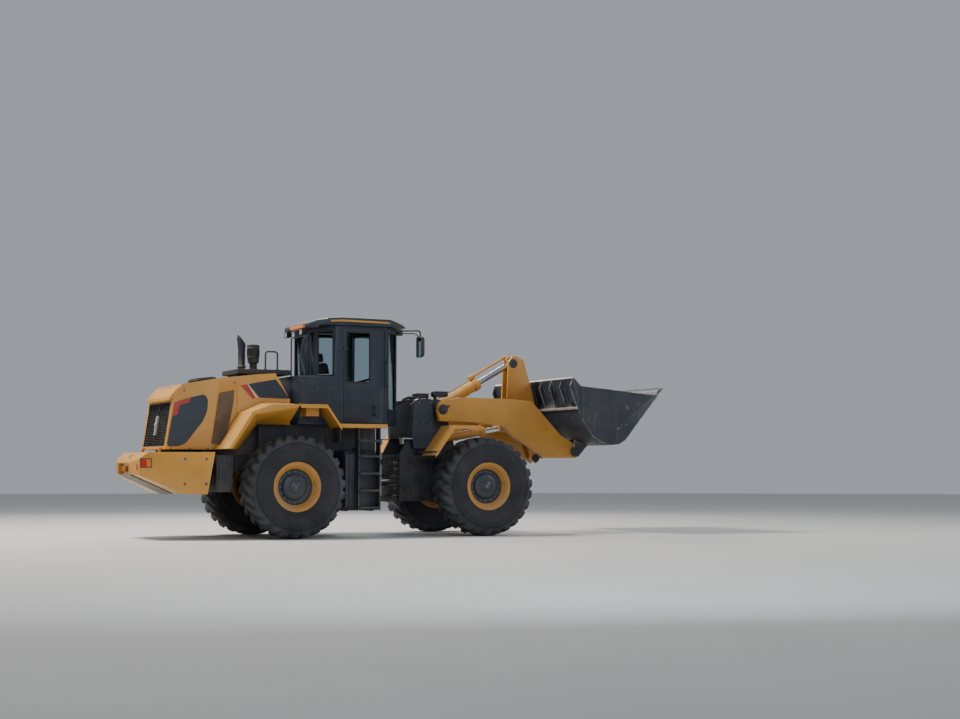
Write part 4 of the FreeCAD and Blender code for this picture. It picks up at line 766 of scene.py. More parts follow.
mirrorLook = {"arm": [(0.16, -0.74, 3.40), (0.16, -0.74, 3.345), (0.56, -1.0, 3.345), (0.56, -1.0, 3.22)],
              "brace": [(0.20, -0.76, 3.38), (0.30, -0.83, 3.30), (0.50, -0.96, 3.30), (0.555, -1.0, 3.20)],
              "head": (-1.110, -0.890, 2.905, 3.248), "glass": (-1.098, -0.902, 2.918, 3.236),
              "rings": ((0.530, 1.0), (0.575, 0.98), (0.598, 0.86)), "middle": (-1.0, 3.076)}
midY, midZ = mirrorLook["middle"]
headLine = softCorners(oblong(*mirrorLook["head"]), 0.05)
mirrorHead = ringed([[(x, y * s + (1 - s) * midY, z * s + (1 - s) * midZ) for y, z in headLine]
                     for x, s in mirrorLook["rings"]])
addPiece("mirrorArms", bothSides(pipe(mirrorLook["arm"], 0.013, 0.05), pipe(mirrorLook["brace"], 0.009, 0.04)),
         blackPlastic, "rear_unit", ["mirrors"])
addPiece("mirrorHeads", bothSides(mirrorHead), blackPlastic, "rear_unit", bevel=0.006)
addPiece("mirrorPlates", bothSides(softPlate(mirrorLook["glass"], 0.045, 0.5275, 0.5305, "x")), mirrorGlass,
         "rear_unit")

railLook = {"deck": [(-1.680, -0.395, 2.680), (-1.680, -0.395, 2.970), (-1.880, -0.395, 2.970),
                     (-1.880, -0.395, 2.680)],
            "back": [(-1.084, 0.475, 2.592), (-1.143, 0.475, 2.592), (-1.143, 0.475, 3.270),
                     (-1.143, -0.475, 3.270), (-1.143, -0.475, 2.592), (-1.084, -0.475, 2.592)],
            "grab": (0.042, -0.781, -0.840, 2.441, 2.831),
            "wiper": [(-1.095, -0.10, 2.64), (-1.104, 0.18, 2.98)], "blade": [(-1.098, 0.02, 2.96), (-1.098, 0.30, 2.99)]}
feet = [turned([(0, 0.028), (0.008, 0.028), (0.010, 0.024)], (x, -0.395, 2.679), up, 16) for x in (-1.680, -1.880)]
addPiece("handRails", joined(pipe(railLook["deck"], 0.014, 0.05), pipe(railLook["back"], 0.012, 0.045), *feet,
                             bothSides(pipe(handle(*railLook["grab"]), 0.012, 0.035))),
         charcoal, "rear_unit", ["handrails"])
addPiece("rearWiper", joined(pipe(railLook["wiper"], 0.006, 0), pipe(railLook["blade"], 0.006, 0)),
         blackPlastic, "rear_unit")
print("cab outside done")


# Cab inside: seat, steering wheel, console

seatLook = {"cushion": ((-0.72, -0.26), (-0.25, 0.25), (2.285, 2.400)), "backHalf": 0.225, "headHalf": 0.135,
            "back": [(-0.800, 2.405), (-0.672, 2.405), (-0.752, 2.835), (-0.860, 2.835)],
            "head": [(-0.868, 2.850), (-0.780, 2.850), (-0.795, 2.990), (-0.874, 2.990)],
            "arm": (-0.74, -0.36, 2.56, 2.61), "armY": (-0.32, 0.26), "levers": 3, "leverX": -0.42,
            "bellows": [(0.0, 0.16), (0.02, 0.19), (0.05, 0.15), (0.08, 0.18), (0.11, 0.15), (0.14, 0.18),
                        (0.17, 0.15), (0.20, 0.18), (0.24, 0.15), (0.28, 0.18), (0.33, 0.15), (0.378, 0.16)]}
for name, form, slot, stands, bevel in (
        ("seatCushion", block(*seatLook["cushion"]), "seat_cloth", ["seat"], 0.045),
        ("seatBack", slab(seatLook["back"], -seatLook["backHalf"], seatLook["backHalf"]), None, (), 0.045),
        ("headRest", slab(seatLook["head"], -seatLook["headHalf"], seatLook["headHalf"]), None, (), 0.035)):
    addPiece(name, form, seatCloth, "rear_unit", stands, bevel=bevel, segments=5)
armForms = [softPlate(seatLook["arm"], 0.02, y, y + 0.06) for y in seatLook["armY"]]
armForms += [pipe([(-0.70, y, 2.36), (-0.70, y, 2.57)], 0.014, 0) for y in (-0.29, 0.29)]
for i in range(seatLook["levers"]):
    x = seatLook["leverX"] + 0.035 * i
    armForms.append(pipe([(x, -0.29, 2.60), (x + 0.01, -0.29, 2.69)], 0.007, 0))
    armForms.append(turned([(0, 0.008), (0.012, 0.015), (0.030, 0.012), (0.036, 0.004)],
                           (x + 0.01, -0.29, 2.685), up, 12))
addPiece("seatArms", joined(*armForms), blackPlastic, "rear_unit", bevel=0.004)
addPiece("seatBellows", turned(seatLook["bellows"], (-0.50, 0, 1.891), up, 28), blackPlastic, "rear_unit",
         ["seat_base"], crease=60)

consoleLook = {"wheel": 0.188, "grip": 0.015, "lean": -16.4, "hub": (-0.12, 0, 2.56), "spokes": (0.0, 2.1, 4.2),
               "dash": [(0.065, 1.891), (0.258, 1.891), (0.258, 2.33), (0.215, 2.378), (0.11, 2.378), (0.065, 2.30)],
               "pedal": [(-0.06, 1.90), (-0.02, 2.02), (-0.005, 2.02), (-0.045, 1.90)], "pedalY": (-0.22, 0.13),
               "column": [(0.03, 0, 1.95), (0.03, 0, 2.05), (-0.115, 0, 2.545)], "columnRadius": 0.034,
               "screen": [(0.065, 2.300), (0.112, 2.382), (0.106, 2.386), (0.058, 2.304)]}
lean = Matrix.Translation(consoleLook["hub"]) @ Matrix.Rotation(math.radians(consoleLook["lean"]), 4, "Y")
reach, grip = consoleLook["wheel"], consoleLook["grip"]
wheelRing = [[(math.cos(t) * (reach + grip * math.cos(a)), math.sin(t) * (reach + grip * math.cos(a)),
               grip * math.sin(a)) for a in turns(10)] for t in turns(40)]
spokes = [pipe([(0, 0, -0.01), (0.186 * math.cos(t), 0.186 * math.sin(t), 0)], 0.011, 0, 8)
          for t in consoleLook["spokes"]]
wheelBoss = turned([(-0.03, 0.03), (-0.01, 0.045), (0.010, 0.045), (0.016, 0.030)], (0, 0, 0), up, 24)
consoleForms = [moved(joined(ringed(wheelRing, closed=True), wheelBoss, *spokes), lean),
                pipe(consoleLook["column"], consoleLook["columnRadius"], 0.05),
                block((-0.02, 0.07), (-0.05, 0.05), (1.891, 2.05)),
                slab(softCorners(consoleLook["dash"], 0.03), -0.36, 0.36)]
consoleForms += [slab(consoleLook["pedal"], y, y + 0.09) for y in consoleLook["pedalY"]]
addPiece("cabConsole", joined(*consoleForms), blackPlastic, "rear_unit", ["console"], bevel=0.002)
addPiece("dashScreen", slab(consoleLook["screen"], -0.16, 0.16), mirrorGlass, "rear_unit")
addPiece("innerMirror", joined(block((-0.02, 0.005), (-0.62, -0.46), (3.10, 3.20)),
                               pipe([(0.0, -0.54, 3.15), (0.05, -0.54, 3.36)], 0.008, 0)),
         blackPlastic, "rear_unit", bevel=0.006)
print("cab inside done")


# Deck: exhaust and pre-cleaner

deckTop = 2.679
stackLook = {"at": (-2.085, 0.220), "sides": 28, "cut": 1.30, "bend": 3.02, "rise": 0.165,
             "mouth": ((0.25, 0.004, 0.059), (0.5, 0.010, 0.061), (0.75, 0.016, 0.064), (1.0, 0.0, 0.069))}
cleanerLook = {"at": (-2.035, -0.240), "fins": 24, "fin": ((0.090, 0.102), (-0.004, 0.004), (2.90, 3.005)),
               "profile": [(0.0, 0.085), (0.012, 0.085), (0.016, 0.060), (0.095, 0.060), (0.100, 0.070),
                           (0.112, 0.090), (0.185, 0.092), (0.190, 0.106), (0.200, 0.106), (0.206, 0.094),
                           (0.330, 0.094), (0.335, 0.103), (0.346, 0.103), (0.352, 0.098), (0.392, 0.100),
                           (0.402, 0.088), (0.404, 0.03)]}


def stackRing(radius, height, cut=0.0, back=0.0):
    x, y = stackLook["at"]
    return [(x - back + radius * math.cos(t), y + radius * math.sin(t), height - cut * radius * math.cos(t))
            for t in turns(stackLook["sides"])]


stackRings = [stackRing(0.068, 2.681), stackRing(0.068, 2.70), stackRing(0.058, 2.71),
              stackRing(0.058, stackLook["bend"], 0.2)]
stackRings += [stackRing(radius, stackLook["bend"] + stackLook["rise"] * lift, stackLook["cut"] * lift, back)
               for lift, back, radius in stackLook["mouth"]]
stackRings += [stackRing(0.064, 3.183, stackLook["cut"]), stackRing(0.056, 2.95)]
addPiece("exhaustPipe", ringed(stackRings), frameSteel, "rear_unit", ["exhaust_stack"], crease=50)
cleanerForms = [turned(cleanerLook["profile"], (*cleanerLook["at"], 2.681), up, 36)]
for t in turns(cleanerLook["fins"]):
    place = Matrix.Translation((*cleanerLook["at"], 0)) @ Matrix.Rotation(t, 4, "Z")
    cleanerForms.append(moved(block(*cleanerLook["fin"]), place))
addPiece("airPrecleaner", joined(*cleanerForms), blackPlastic, "rear_unit", ["air_precleaner"],
         crease=40)
clamp = turned([(0, 0.066), (0.004, 0.072), (0.026, 0.072), (0.030, 0.066)], (*stackLook["at"], 2.74), up, 28)
deckBolts = [(x, y, deckTop) for x in (-2.31, -1.90, -1.50) for y in (-0.385, 0.385)]
deckBolts += around((*stackLook["at"], deckTop), 0.10, 4, "xy", 0.6)
deckBolts += around((*cleanerLook["at"], deckTop), 0.105, 4, "xy", 0.6)
addPiece("deckTrim", joined(clamp, boltHeads(deckBolts, up, 0.010, 0.008)), boltSteel, "rear_unit")
print("deck done")


# Platforms, ladders and tanks

fenderLook = {"line": [(-1.590, 2.100), (-1.150, 2.100), (-0.905, 1.750)], "inner": -0.7804, "outer": -1.300,
              "plate": 0.0224, "lip": 0.060, "lipInner": -1.286, "bolts": (-1.52, -1.36, -1.20)}
platformLook = {"deck": (-0.900, -0.110, 1.741, 1.7995), "deckY": (-1.250, -0.600), "grips": (15, 5),
                "gripPitch": (0.052, 0.085), "ladderX": (-0.620, -0.260), "foot": 0.44, "under": 1.741,
                "steps": (0.470, 0.740, 1.010, 1.280, 1.530), "bars": 11, "barPitch": 0.0318,
                "bolts": (0.50, 0.78, 1.05, 1.31, 1.56), "straps": (-0.72, -0.29)}
boxLook = {"lid": (-2.815, -2.625, 0.77, 1.26), "ribs": 8, "ribPitch": 0.055, "flap": (-0.935, -0.925, 1.50, 1.74)}


def bentLine(points, depth):
    # side outline of a plate folded along a line, its thickness below it
    return points + [(x, z - depth) for x, z in reversed(points)]


look = fenderLook
fenderPlates = [slab(bentLine(look["line"], look["plate"]), look["outer"], look["inner"]),
                slab(bentLine(look["line"], look["lip"]), look["outer"], look["lipInner"]),
                block((-1.420, -1.200), (-1.050, -0.782), (1.920, 2.078))]
addPiece("rearFenderPlates", bothSides(*fenderPlates), paint, "rear_unit", ["rear_fenders"], bevel=0.004)
addPiece("archPanels", bothSides(block((-2.050, -0.060), (-0.598, -0.584), (1.305, 1.7997))), frameSteel,
         "rear_unit", bevel=0.002)
look = platformLook
addPiece("platformDecks", bothSides(slab(oblong(*look["deck"]), *look["deckY"])), paint, "rear_unit",
         bevel=0.004)
grips = [turned([(0, 0.011), (0.003, 0.009)], (-0.870 + look["gripPitch"][0] * i, -1.20 + look["gripPitch"][1] * k,
                                               1.799), up, 8)
         for i in range(look["grips"][0]) for k in range(look["grips"][1])]
addPiece("platformGrips", bothSides(*grips), frameSteel, "rear_unit")
ladder = []
for x in look["ladderX"]:
    for wide, inner in ((0.030, -1.235), (0.006, -1.110)):
        ladder.append(slab(oblong(x, x + wide, look["foot"], look["under"]), -1.250, inner))
for z in look["steps"]:
    ladder.append(block((-0.590, -0.260), (-1.290, -1.280), (z - 0.010, z + 0.025)))
    ladder.append(block((-0.590, -0.260), (-1.130, -1.120), (z, z + 0.025)))
    for i in range(look["bars"]):
        x = -0.588 + look["barPitch"] * i
        ladder.append(block((x, x + 0.006), (-1.285, -1.125), (z + 0.004, z + 0.025)))
addPiece("sideLadders", bothSides(*ladder), frameSteel, "rear_unit", ["platforms"])
ladderBolts = [(x + 0.015, -1.250, z) for x in look["ladderX"] for z in look["bolts"]]
addPiece("ladderBolts", bothSides(boltHeads(ladderBolts, outward, 0.008, 0.007)), boltSteel, "rear_unit")
straps = [pipe([(x, -0.66, 0.427), (x, -1.06, 0.427), (x, -1.113, 0.49), (x, -1.113, 1.32), (x, -1.06, 1.383),
                (x, -0.62, 1.383)], 0.008, 0.03, 6) for x in look["straps"]]
cap = turned([(0, 0.055), (0.02, 0.055), (0.024, 0.062), (0.045, 0.062), (0.052, 0.052)],
             (-0.50, -0.86, 1.378), up, 24)
addPiece("tankTrim", bothSides(*straps, cap), blackPlastic, "rear_unit")
lids = [softPlate(boxLook["lid"], 0.02, -1.006, -0.998)]
for i in range(boxLook["ribs"]):
    z = 0.80 + boxLook["ribPitch"] * i
    lids.append(block((-2.80, -2.64), (-1.009, -1.004), (z, z + 0.025)))
addPiece("sideBoxLids", bothSides(*lids), frameSteel, "rear_unit", bevel=0.002)
addPiece("mudFlaps", bothSides(slab(oblong(*boxLook["flap"]), -1.285, -0.95)), hoseRubber, "rear_unit", bevel=0.002)
fenderBolts = [(x, y, 2.1005) for x in fenderLook["bolts"] for y in (-0.84, -1.26)]
addPiece("fenderBolts", bothSides(boltHeads(fenderBolts, up, 0.010, 0.008)), boltSteel, "rear_unit")
print("platforms done")


# Front unit: tower covers, lamps, hoses and fenders

towerLook = {"cover": [(0.640, 1.42), (0.985, 1.42), (1.000, 1.62), (1.005, 2.235), (0.930, 2.262), (0.700, 2.255),
                       (0.635, 2.10), (0.625, 1.75)],
             "bolts": ((0.69, 1.50), (0.95, 1.50), (0.68, 1.86), (0.96, 1.86), (0.74, 2.19), (0.95, 2.19)),
             "hoseY": (-0.30, -0.25, -0.20, -0.15, 0.15, 0.20, 0.25, 0.30), "hose": 0.014, "sag": 0.03,
             "valves": (-0.22, -0.13, -0.04, 0.05, 0.14), "outer": -0.545,
             "ports": ((0.66, -0.30), (0.78, -0.33), (1.00, -0.30), (1.10, -0.34), (1.20, -0.31))}
workLampLook = {"body": (1.045, 1.300, 2.296, 2.391), "y": (-0.468, -0.332),
                "visor": [(1.25, 2.386), (1.327, 2.380), (1.327, 2.3885), (1.25, 2.3915)]}
frontLook = {"line": [(0.690, 1.330), (1.030, 1.800), (1.500, 1.800)], "outer": -1.350, "inner": -0.800,
             "plate": 0.0224, "lip": 0.055, "lipInner": -1.336, "bolts": (1.10, 1.28, 1.45),
             "stops": ((0.62, 0.75), (0.62, 1.12), (1.62, 1.18)), "pipes": 3, "pipePitch": 0.04}
look = towerLook
addPiece("towerCovers", bothSides(slab(softCorners(look["cover"], 0.06), look["outer"], -0.401)), charcoal,
         "front_unit", bevel=0.018, segments=3)
addPiece("towerBolts", bothSides(boltHeads([(x, look["outer"], z) for x, z in look["bolts"]], outward, 0.012, 0.009)),
         boltSteel, "front_unit")
lampForm = joined(softPlate(workLampLook["body"], 0.03, *workLampLook["y"]),
                  block((1.075, 1.125), (-0.395, -0.365), (2.251, 2.30)),
                  slab(workLampLook["visor"], *workLampLook["y"]))
lampLens = turned([(0, 0.044), (0.012, 0.044), (0.020, 0.036), (0.024, 0.010)], (1.298, -0.400, 2.343), forward, 28)
addPiece("workLampBodies", bothSides(lampForm), blackPlastic, "front_unit", ["work_lamps"],
         bevel=0.006)
addPiece("workLampLenses", bothSides(lampLens), lampGlass, "front_unit")
hoses = []
for i, y in enumerate(look["hoseY"]):
    sag = look["sag"] * (i % 3)
    hoses.append(pipe([(0.70, y * 0.8, 2.06), (0.80, y, 2.285 + sag * 0.4), (0.97, y, 2.300 + sag * 0.4),
                       (1.09, y * 0.72, 2.16 - sag), (1.13, y * 0.60, 2.02 - sag)], look["hose"], 0.09, 10))
addPiece("towerHoses", joined(*hoses), hoseRubber, "front_unit")
valves = [block((0.75, 0.95), (y, y + 0.05), (2.20, 2.26)) for y in look["valves"]]
addPiece("valveBlock", joined(block((0.72, 0.98), (-0.24, 0.24), (2.06, 2.20)), *valves), castIron, "front_unit",
         bevel=0.006)
look = frontLook
frontPlates = [slab(bentLine(look["line"], look["plate"]), look["outer"], look["inner"]),
               slab(bentLine(look["line"], look["lip"]), look["outer"], look["lipInner"])]
addPiece("frontFenderPlates", bothSides(*frontPlates), paint, "front_unit", ["front_fenders"],
         bevel=0.004)
addPiece("frontFenderArms", bothSides(turned([(0, 0.032), (0.944, 0.032)], (0.735, -0.4005, 1.350), outward, 24)),
         frameSteel, "front_unit")
fenderTrim = [(x, y, 1.8005) for x in look["bolts"] for y in (-0.84, -1.31)]
addPiece("frontFenderBolts", bothSides(boltHeads(fenderTrim, up, 0.010, 0.008)), boltSteel, "front_unit")
fittings = [turned([(0, 0.05), (0.02, 0.05), (0.024, 0.042)], (x, -0.401, z), outward, 20) for x, z in look["stops"]]
for i in range(look["pipes"]):
    z = 1.25 - look["pipePitch"] * i
    fittings.append(pipe([(0.60, -0.414, z), (1.25, -0.414, z), (1.36, -0.414, z + 0.15)], 0.011, 0.05, 8))
addPiece("frameFittings", bothSides(*fittings), frameSteel, "front_unit")
ports = []
for z, y in towerLook["ports"]:
    ports.append(turned([(0, 0.026), (0.020, 0.026), (0.024, 0.018), (0.060, 0.018)], (0.449, y, z), rearward, 6))
    ports.append(turned([(-0.02, 0.020), (0.02, 0.020)], (0.385, y, z), (0, 0, -1), 12))
addPiece("hoseFittings", joined(*ports), boltSteel, "front_unit", bevel=0.002)
drops = [pipe([(0.385, y, z), (0.385, y, z - 0.06), (0.440, y * 0.96, z - 0.10)], towerLook["hose"], 0.03, 8)
         for z, y in towerLook["ports"][3:]]
addPiece("wallHoses", joined(*drops), hoseRubber, "front_unit")
addPiece("towerSteps", bothSides(block((0.430, 0.620), (-0.560, -0.402), (1.585, 1.603)),
                                 block((0.450, 0.470), (-0.540, -0.402), (1.500, 1.585))),
         wornSteel, "front_unit", bevel=0.003)
print("front unit done")


# Lift arm and bell crank: pin ends, lines

armLook = {"outer": -0.645, "pins": ((1.130, 2.080), (3.620, 1.400)), "pin": 0.050, "keeper": 60,
           "liftEye": (2.36, 1.80), "tubes": (-0.545, -0.515), "clips": (1.60, 2.0, 2.2)}
crankLook = {"side": 0.120, "pins": ((2.893, 2.090, 0.060), (2.700, 2.920, 0.045), (3.135, 1.283, 0.040))}


def pinHead(x, y, z, radius, side=-1):
    # boss ring, pin end and grease nipple on the outer face
    at, way = (x, y, z), (0, side, 0)
    ring = turned([(-0.004, radius * 1.75), (0.006, radius * 1.75), (0.010, radius * 1.66),
                   (0.010, radius * 1.04)], at, way, 40)
    end = turned([(-0.004, radius), (0.008, radius), (0.012, radius * 0.92)], at, way, 32)
    return joined(ring, end, turned([(0.010, 0.007), (0.022, 0.007), (0.026, 0.003)], at, way, 8))


def keeperPlate(x, z, turn, y):
    place = Matrix.Translation((x, y, z)) @ Matrix.Rotation(math.radians(turn), 4, "Y")
    heads = boltHeads([(0, -0.020, 0.085), (0, -0.020, 0.112)], outward, 0.008, 0.006)
    return moved(joined(softPlate((-0.016, 0.016, 0.03, 0.13), 0.008, -0.020, -0.010), heads), place)


look = armLook
armForms = [pinHead(x, look["outer"], z, look["pin"]) for x, z in look["pins"]]
armForms.append(keeperPlate(*look["pins"][0], look["keeper"], look["outer"]))
addPiece("armPinHeads", bothSides(*armForms), frameSteel, "boom", crease=35)
eyeX, eyeZ = look["liftEye"]
eyeCover = joined(turned([(-0.002, 0.075), (0.010, 0.075), (0.014, 0.068)], (eyeX, look["outer"], eyeZ), outward, 32),
                  boltHeads(around((eyeX, -0.659, eyeZ), 0.045, 4), outward, 0.008, 0.006))
addPiece("liftEyeCovers", bothSides(eyeCover), armPaint, "boom", crease=35)
tubes = [pipe([(1.22, y, 2.18), (1.50, y, 2.235), (2.25, y, 2.235), (2.62, y, 2.16)], 0.012, 0.08, 8)
         for y in look["tubes"]]
clips = [block((x, x + 0.03), (-0.556, -0.500), (2.222, 2.252)) for x in look["clips"]]
addPiece("armTubes", bothSides(*tubes, *clips), armPaint, "boom")
crankForms = [pinHead(x, side * crankLook["side"], z, radius, side)
              for x, z, radius in crankLook["pins"] for side in (-1, 1)]
addPiece("crankPinHeads", joined(*crankForms), frameSteel, "bell_crank", crease=35)


# Cylinders: turned barrels, glands, rods and their lines

liftLook = {"base": (1.100, -0.477, 1.581), "end": (2.360, -0.477, 1.800), "radius": 0.070, "rod": 0.0398,
            "length": 0.880, "gland": 0.078, "half": 0.045, "eye": 0.084, "halfEye": 0.045, "eyeOut": 0.075,
            "stroke": 0.930}
tiltLook = {"base": (1.160, 0, 2.050), "end": (2.700, 0, 2.920), "radius": 0.094, "rod": 0.0478,
            "length": 1.050, "gland": 0.106, "half": 0.060, "eye": 0.080, "halfEye": 0.065, "eyeOut": 0.070,
            "stroke": 0.884}
levelLook = {"up": 0.150, "radius": 0.022, "length": 0.79, "start": 0.820, "pin": 0.060, "sleeve": 0.040}
steerLook = {"base": (-0.600, 0.450, 0.905), "end": (0.330, 0.340, 0.905), "radius": 0.054, "rod": 0.0275,
             "length": 0.630, "stroke": 0.590, "half": 0.026, "baseEye": 0.050, "rodEye": 0.045}


def hump(start, direction, above, near, far, low, high):
    # a line that leaves a barrel, runs along it and goes back in
    return [start + direction * along + above * lift
            for along, lift in ((near, low), (near, high), (far, high), (far, low))]


def ramForms(look):
    # barrel, rod and rod eye of a cylinder
    start, aim = Vector(look["base"]), Vector(look["end"])
    r, length, rod, gland, half = [look[key] for key in ("radius", "length", "rod", "gland", "half")]
    direction = (aim - start).normalized()
    above, across = Vector((-direction.z, 0, direction.x)), (0, 1, 0)
    barrel = turned([(0.045, r * 0.62), (0.075, r * 0.80), (0.112, r * 0.98), (0.125, r), (length - 0.105, r),
                     (length - 0.100, r), (length - 0.098, gland), (length - 0.020, gland),
                     (length - 0.016, gland - 0.004), (length - 0.002, gland - 0.006), (length, rod + 0.012),
                     (length + 0.006, rod + 0.010), (length + 0.006, rod + 0.002)], start, direction, 40, False)
    eye = look["eye"]
    forms = [barrel, turned([(-half, eye - 0.004), (-half + 0.004, eye), (half - 0.004, eye), (half, eye - 0.004)],
                            start, across, 36)]
    near, far = 0.16, length - 0.06
    forms.append(pipe(hump(start, direction, above, near, far, r, r + 0.028), 0.011, 0.02, 8))
    forms += [turned([(0, 0.020), (0.018, 0.020), (0.020, 0.016)], start + direction * along + above * (r - 0.004),
                     above, 6) for along in (near, far)]
    forms += [turned([(0, r + 0.004), (0.022, r + 0.004)], start + direction * along, direction, 40, False)
              for along in (0.34, length - 0.28)]
    shank = turned([(0, rod - 0.003), (0.003, rod), (look["stroke"] - look["eyeOut"], rod)],
                   aim - direction * look["stroke"], direction, 32)
    half, eye = look["halfEye"], look["eyeOut"]
    rodEye = turned([(-half, eye - 0.005), (-half + 0.005, eye), (half - 0.005, eye), (half, eye - 0.005)],
                    aim, across, 36)
    neck = turned([(0, rod + 0.002), (0.012, rod + 0.012), (0.05, rod + 0.020)],
                  aim - direction * (eye + 0.045), direction, 28)
    return joined(*forms), shank, joined(rodEye, neck)


def addSteering(hand, side):
    look = steerLook
    base, eye = [Vector((p[0], side * p[1], p[2])) for p in (look["base"], look["end"])]
    r, length, half = look["radius"], look["length"], look["half"]
    direction, above = (eye - base).normalized(), Vector(up)
    barrel = turned([(0.035, r * 0.7), (0.06, r * 0.9), (0.085, r), (length - 0.07, r), (length - 0.069, r + 0.001),
                     (length - 0.012, r + 0.001), (length, r - 0.008), (length, 0.030)], base, direction, 36, False)
    baseEye = turned([(-half, look["baseEye"]), (half, look["baseEye"])], base, above, 30)
    rodEye = turned([(-half, look["rodEye"]), (half, look["rodEye"])], eye, above, 30)
    shank = turned([(0, look["rod"]), (look["stroke"] - 0.04, look["rod"])], eye - direction * look["stroke"],
                   direction, 28)
    tag = hand.capitalize()
    addPiece("steerBarrel" + tag, joined(barrel, baseEye), frameSteel, "steer_barrel_" + hand,
             ["steer_barrel_" + hand])
    addPiece("steerShank" + tag, shank, chrome, "steer_rod_" + hand, ["steer_rod_" + hand])
    addPiece("steerEye" + tag, rodEye, frameSteel, "steer_rod_" + hand)


barrel, shank, rodEye = ramForms(liftLook)
addPiece("liftBarrels", bothSides(barrel), armPaint, "lift_barrels", ["lift_barrels"])
addPiece("liftShanks", bothSides(shank), chrome, "lift_rods", ["lift_rods"])
addPiece("liftEyes", bothSides(rodEye), armPaint, "lift_rods")
barrel, shank, rodEye = ramForms(tiltLook)
tiltStart, tiltEnd = Vector(tiltLook["base"]), Vector(tiltLook["end"])
tiltAlong = (tiltEnd - tiltStart).normalized()
tiltUp = Vector((-tiltAlong.z, 0, tiltAlong.x))


def byTilt(back, above):
    # a place beside the tilt cylinder, back from its front eye
    return tiltEnd - tiltAlong * back + tiltUp * above


look = levelLook
sleeveBack = (tiltEnd - tiltStart).length - tiltLook["length"]
sleeve = joined(turned([(0, look["sleeve"]), (0.10, look["sleeve"])], byTilt(sleeveBack + 0.110, look["up"]),
                       tiltAlong, 20),
                pipe([byTilt(sleeveBack + 0.070, 0.085), byTilt(sleeveBack + 0.070, 0.135)], look["radius"], 0, 10))
addPiece("tiltBarrelDressed", joined(barrel, sleeve), armPaint, "tilt_barrel", ["tilt_barrel"])
addPiece("tiltShank", shank, chrome, "tilt_rod", ["tilt_rod"])
levelRod = joined(turned([(0, 0.016), (0.01, look["radius"]), (look["length"] - 0.005, look["radius"]),
                          (look["length"], 0.018)], byTilt(look["start"], look["up"]), tiltAlong, 16),
                  pipe([byTilt(look["pin"], look["up"]), byTilt(look["pin"], 0.040)], look["radius"], 0, 10),
                  turned([(-0.04, 0.028), (0.04, 0.028)], byTilt(look["pin"], look["up"]), tiltAlong, 16))
addPiece("levelRod", joined(levelRod, rodEye), armPaint, "tilt_rod")
addSteering("right", -1)
addSteering("left", 1)
print("cylinders done")


# Bucket: cutting edge, cheeks, rails and liner, drawn flat on the ground and rolled back

bucketLook = {
    "pin": (3.620, 1.400), "roll": 50, "half": 1.488, "pinY": 0.695, "blades": 8, "bolts": 32, "gap": 0.002,
    "blade": [(1.36, -0.296), (1.36, -0.281), (1.638, -0.268), (1.652, -0.283), (1.60, -0.297)],
    "boltLine": (1.42, -0.2965), "heels": (-1.46, -0.80, -0.06, 0.68, 1.34), "heel": (0.62, 1.10, -0.293, -0.280),
    "cheek": [(1.470, -0.262), (1.415, -0.195), (1.30, -0.04), (1.335, -0.02), (1.50, -0.222)],
    "lowRail": [(0.262, 0.760), (0.300, 0.742), (0.316, 0.776), (0.278, 0.794)],
    "topRail": [(0.602, 1.150), (0.634, 1.134), (0.642, 1.150), (0.610, 1.166)],
    "liner": [(0.478, -0.252), (0.348, -0.205), (0.237, -0.097), (0.164, 0.068), (0.135, 0.240), (0.194, 0.492)],
    "linerDepth": [0.0, 0.026, 0.030, 0.030, 0.022, 0.0], "linerHalf": 1.457}


def inBucket(x, z):
    a = math.radians(bucketLook["roll"])
    pinX, pinZ = bucketLook["pin"]
    return pinX + x * math.cos(a) - z * math.sin(a), pinZ + x * math.sin(a) + z * math.cos(a)


def bucketSlab(outline, low, high):
    return slab([inBucket(x, z) for x, z in outline], low, high)


def linerOutline():
    # the back's inner face, and the same line thickened into the bucket
    line, face = bucketLook["liner"], []
    for i, ((x, z), depth) in enumerate(zip(line, bucketLook["linerDepth"])):
        along = (Vector(line[min(i + 1, len(line) - 1)]) - Vector(line[max(i - 1, 0)])).normalized()
        face.append((x + along.y * depth, z - along.x * depth))
    return line + face[::-1][1:-1]


look = bucketLook
half, gap = look["half"], look["gap"]
wide = (2 * half - 2 * gap) / look["blades"]
blades = []
for i in range(look["blades"]):
    y = gap - half + i * wide
    blades.append(bucketSlab(look["blade"], y + gap, y + wide - gap))
addPiece("bladeSegments", joined(*blades), edgeSteel, "bucket", bevel=0.002)
down = inBucket(0, -1)
boltX, boltZ = inBucket(*look["boltLine"])
bladeBolts = [(boltX, -half + 0.047 + i * (2 * half - 0.094) / (look["bolts"] - 1), boltZ)
              for i in range(look["bolts"])]
addPiece("bladeBolts", boltHeads(bladeBolts, (down[0] - look["pin"][0], 0, down[1] - look["pin"][1]), 0.016, 0.010),
         boltSteel, "bucket")
heels = [bucketSlab(oblong(*look["heel"]), y, y + 0.12) for y in look["heels"]]
addPiece("heelPlates", joined(*heels), edgeSteel, "bucket", bevel=0.002)
addPiece("bucketLiner", bucketSlab(linerOutline(), -look["linerHalf"], look["linerHalf"]), bucketSteel, "bucket")
addPiece("sideCutters", bothSides(bucketSlab(look["cheek"], -1.494, -1.480)), edgeSteel, "bucket", bevel=0.002)
rails = [bucketSlab(look[key], -1.486, 1.486) for key in ("lowRail", "topRail")]
addPiece("bucketRails", joined(*rails), wornSteel, "bucket", bevel=0.003)
pinForms = [pinHead(look["pin"][0], side * look["pinY"], look["pin"][1], 0.050, side) for side in (-1, 1)]
addPiece("bucketPinHeads", joined(*pinForms), frameSteel, "bucket", crease=35)
print("bucket done")


# Carried-over solids: facets joined, edges rounded, a finish and a rounding each

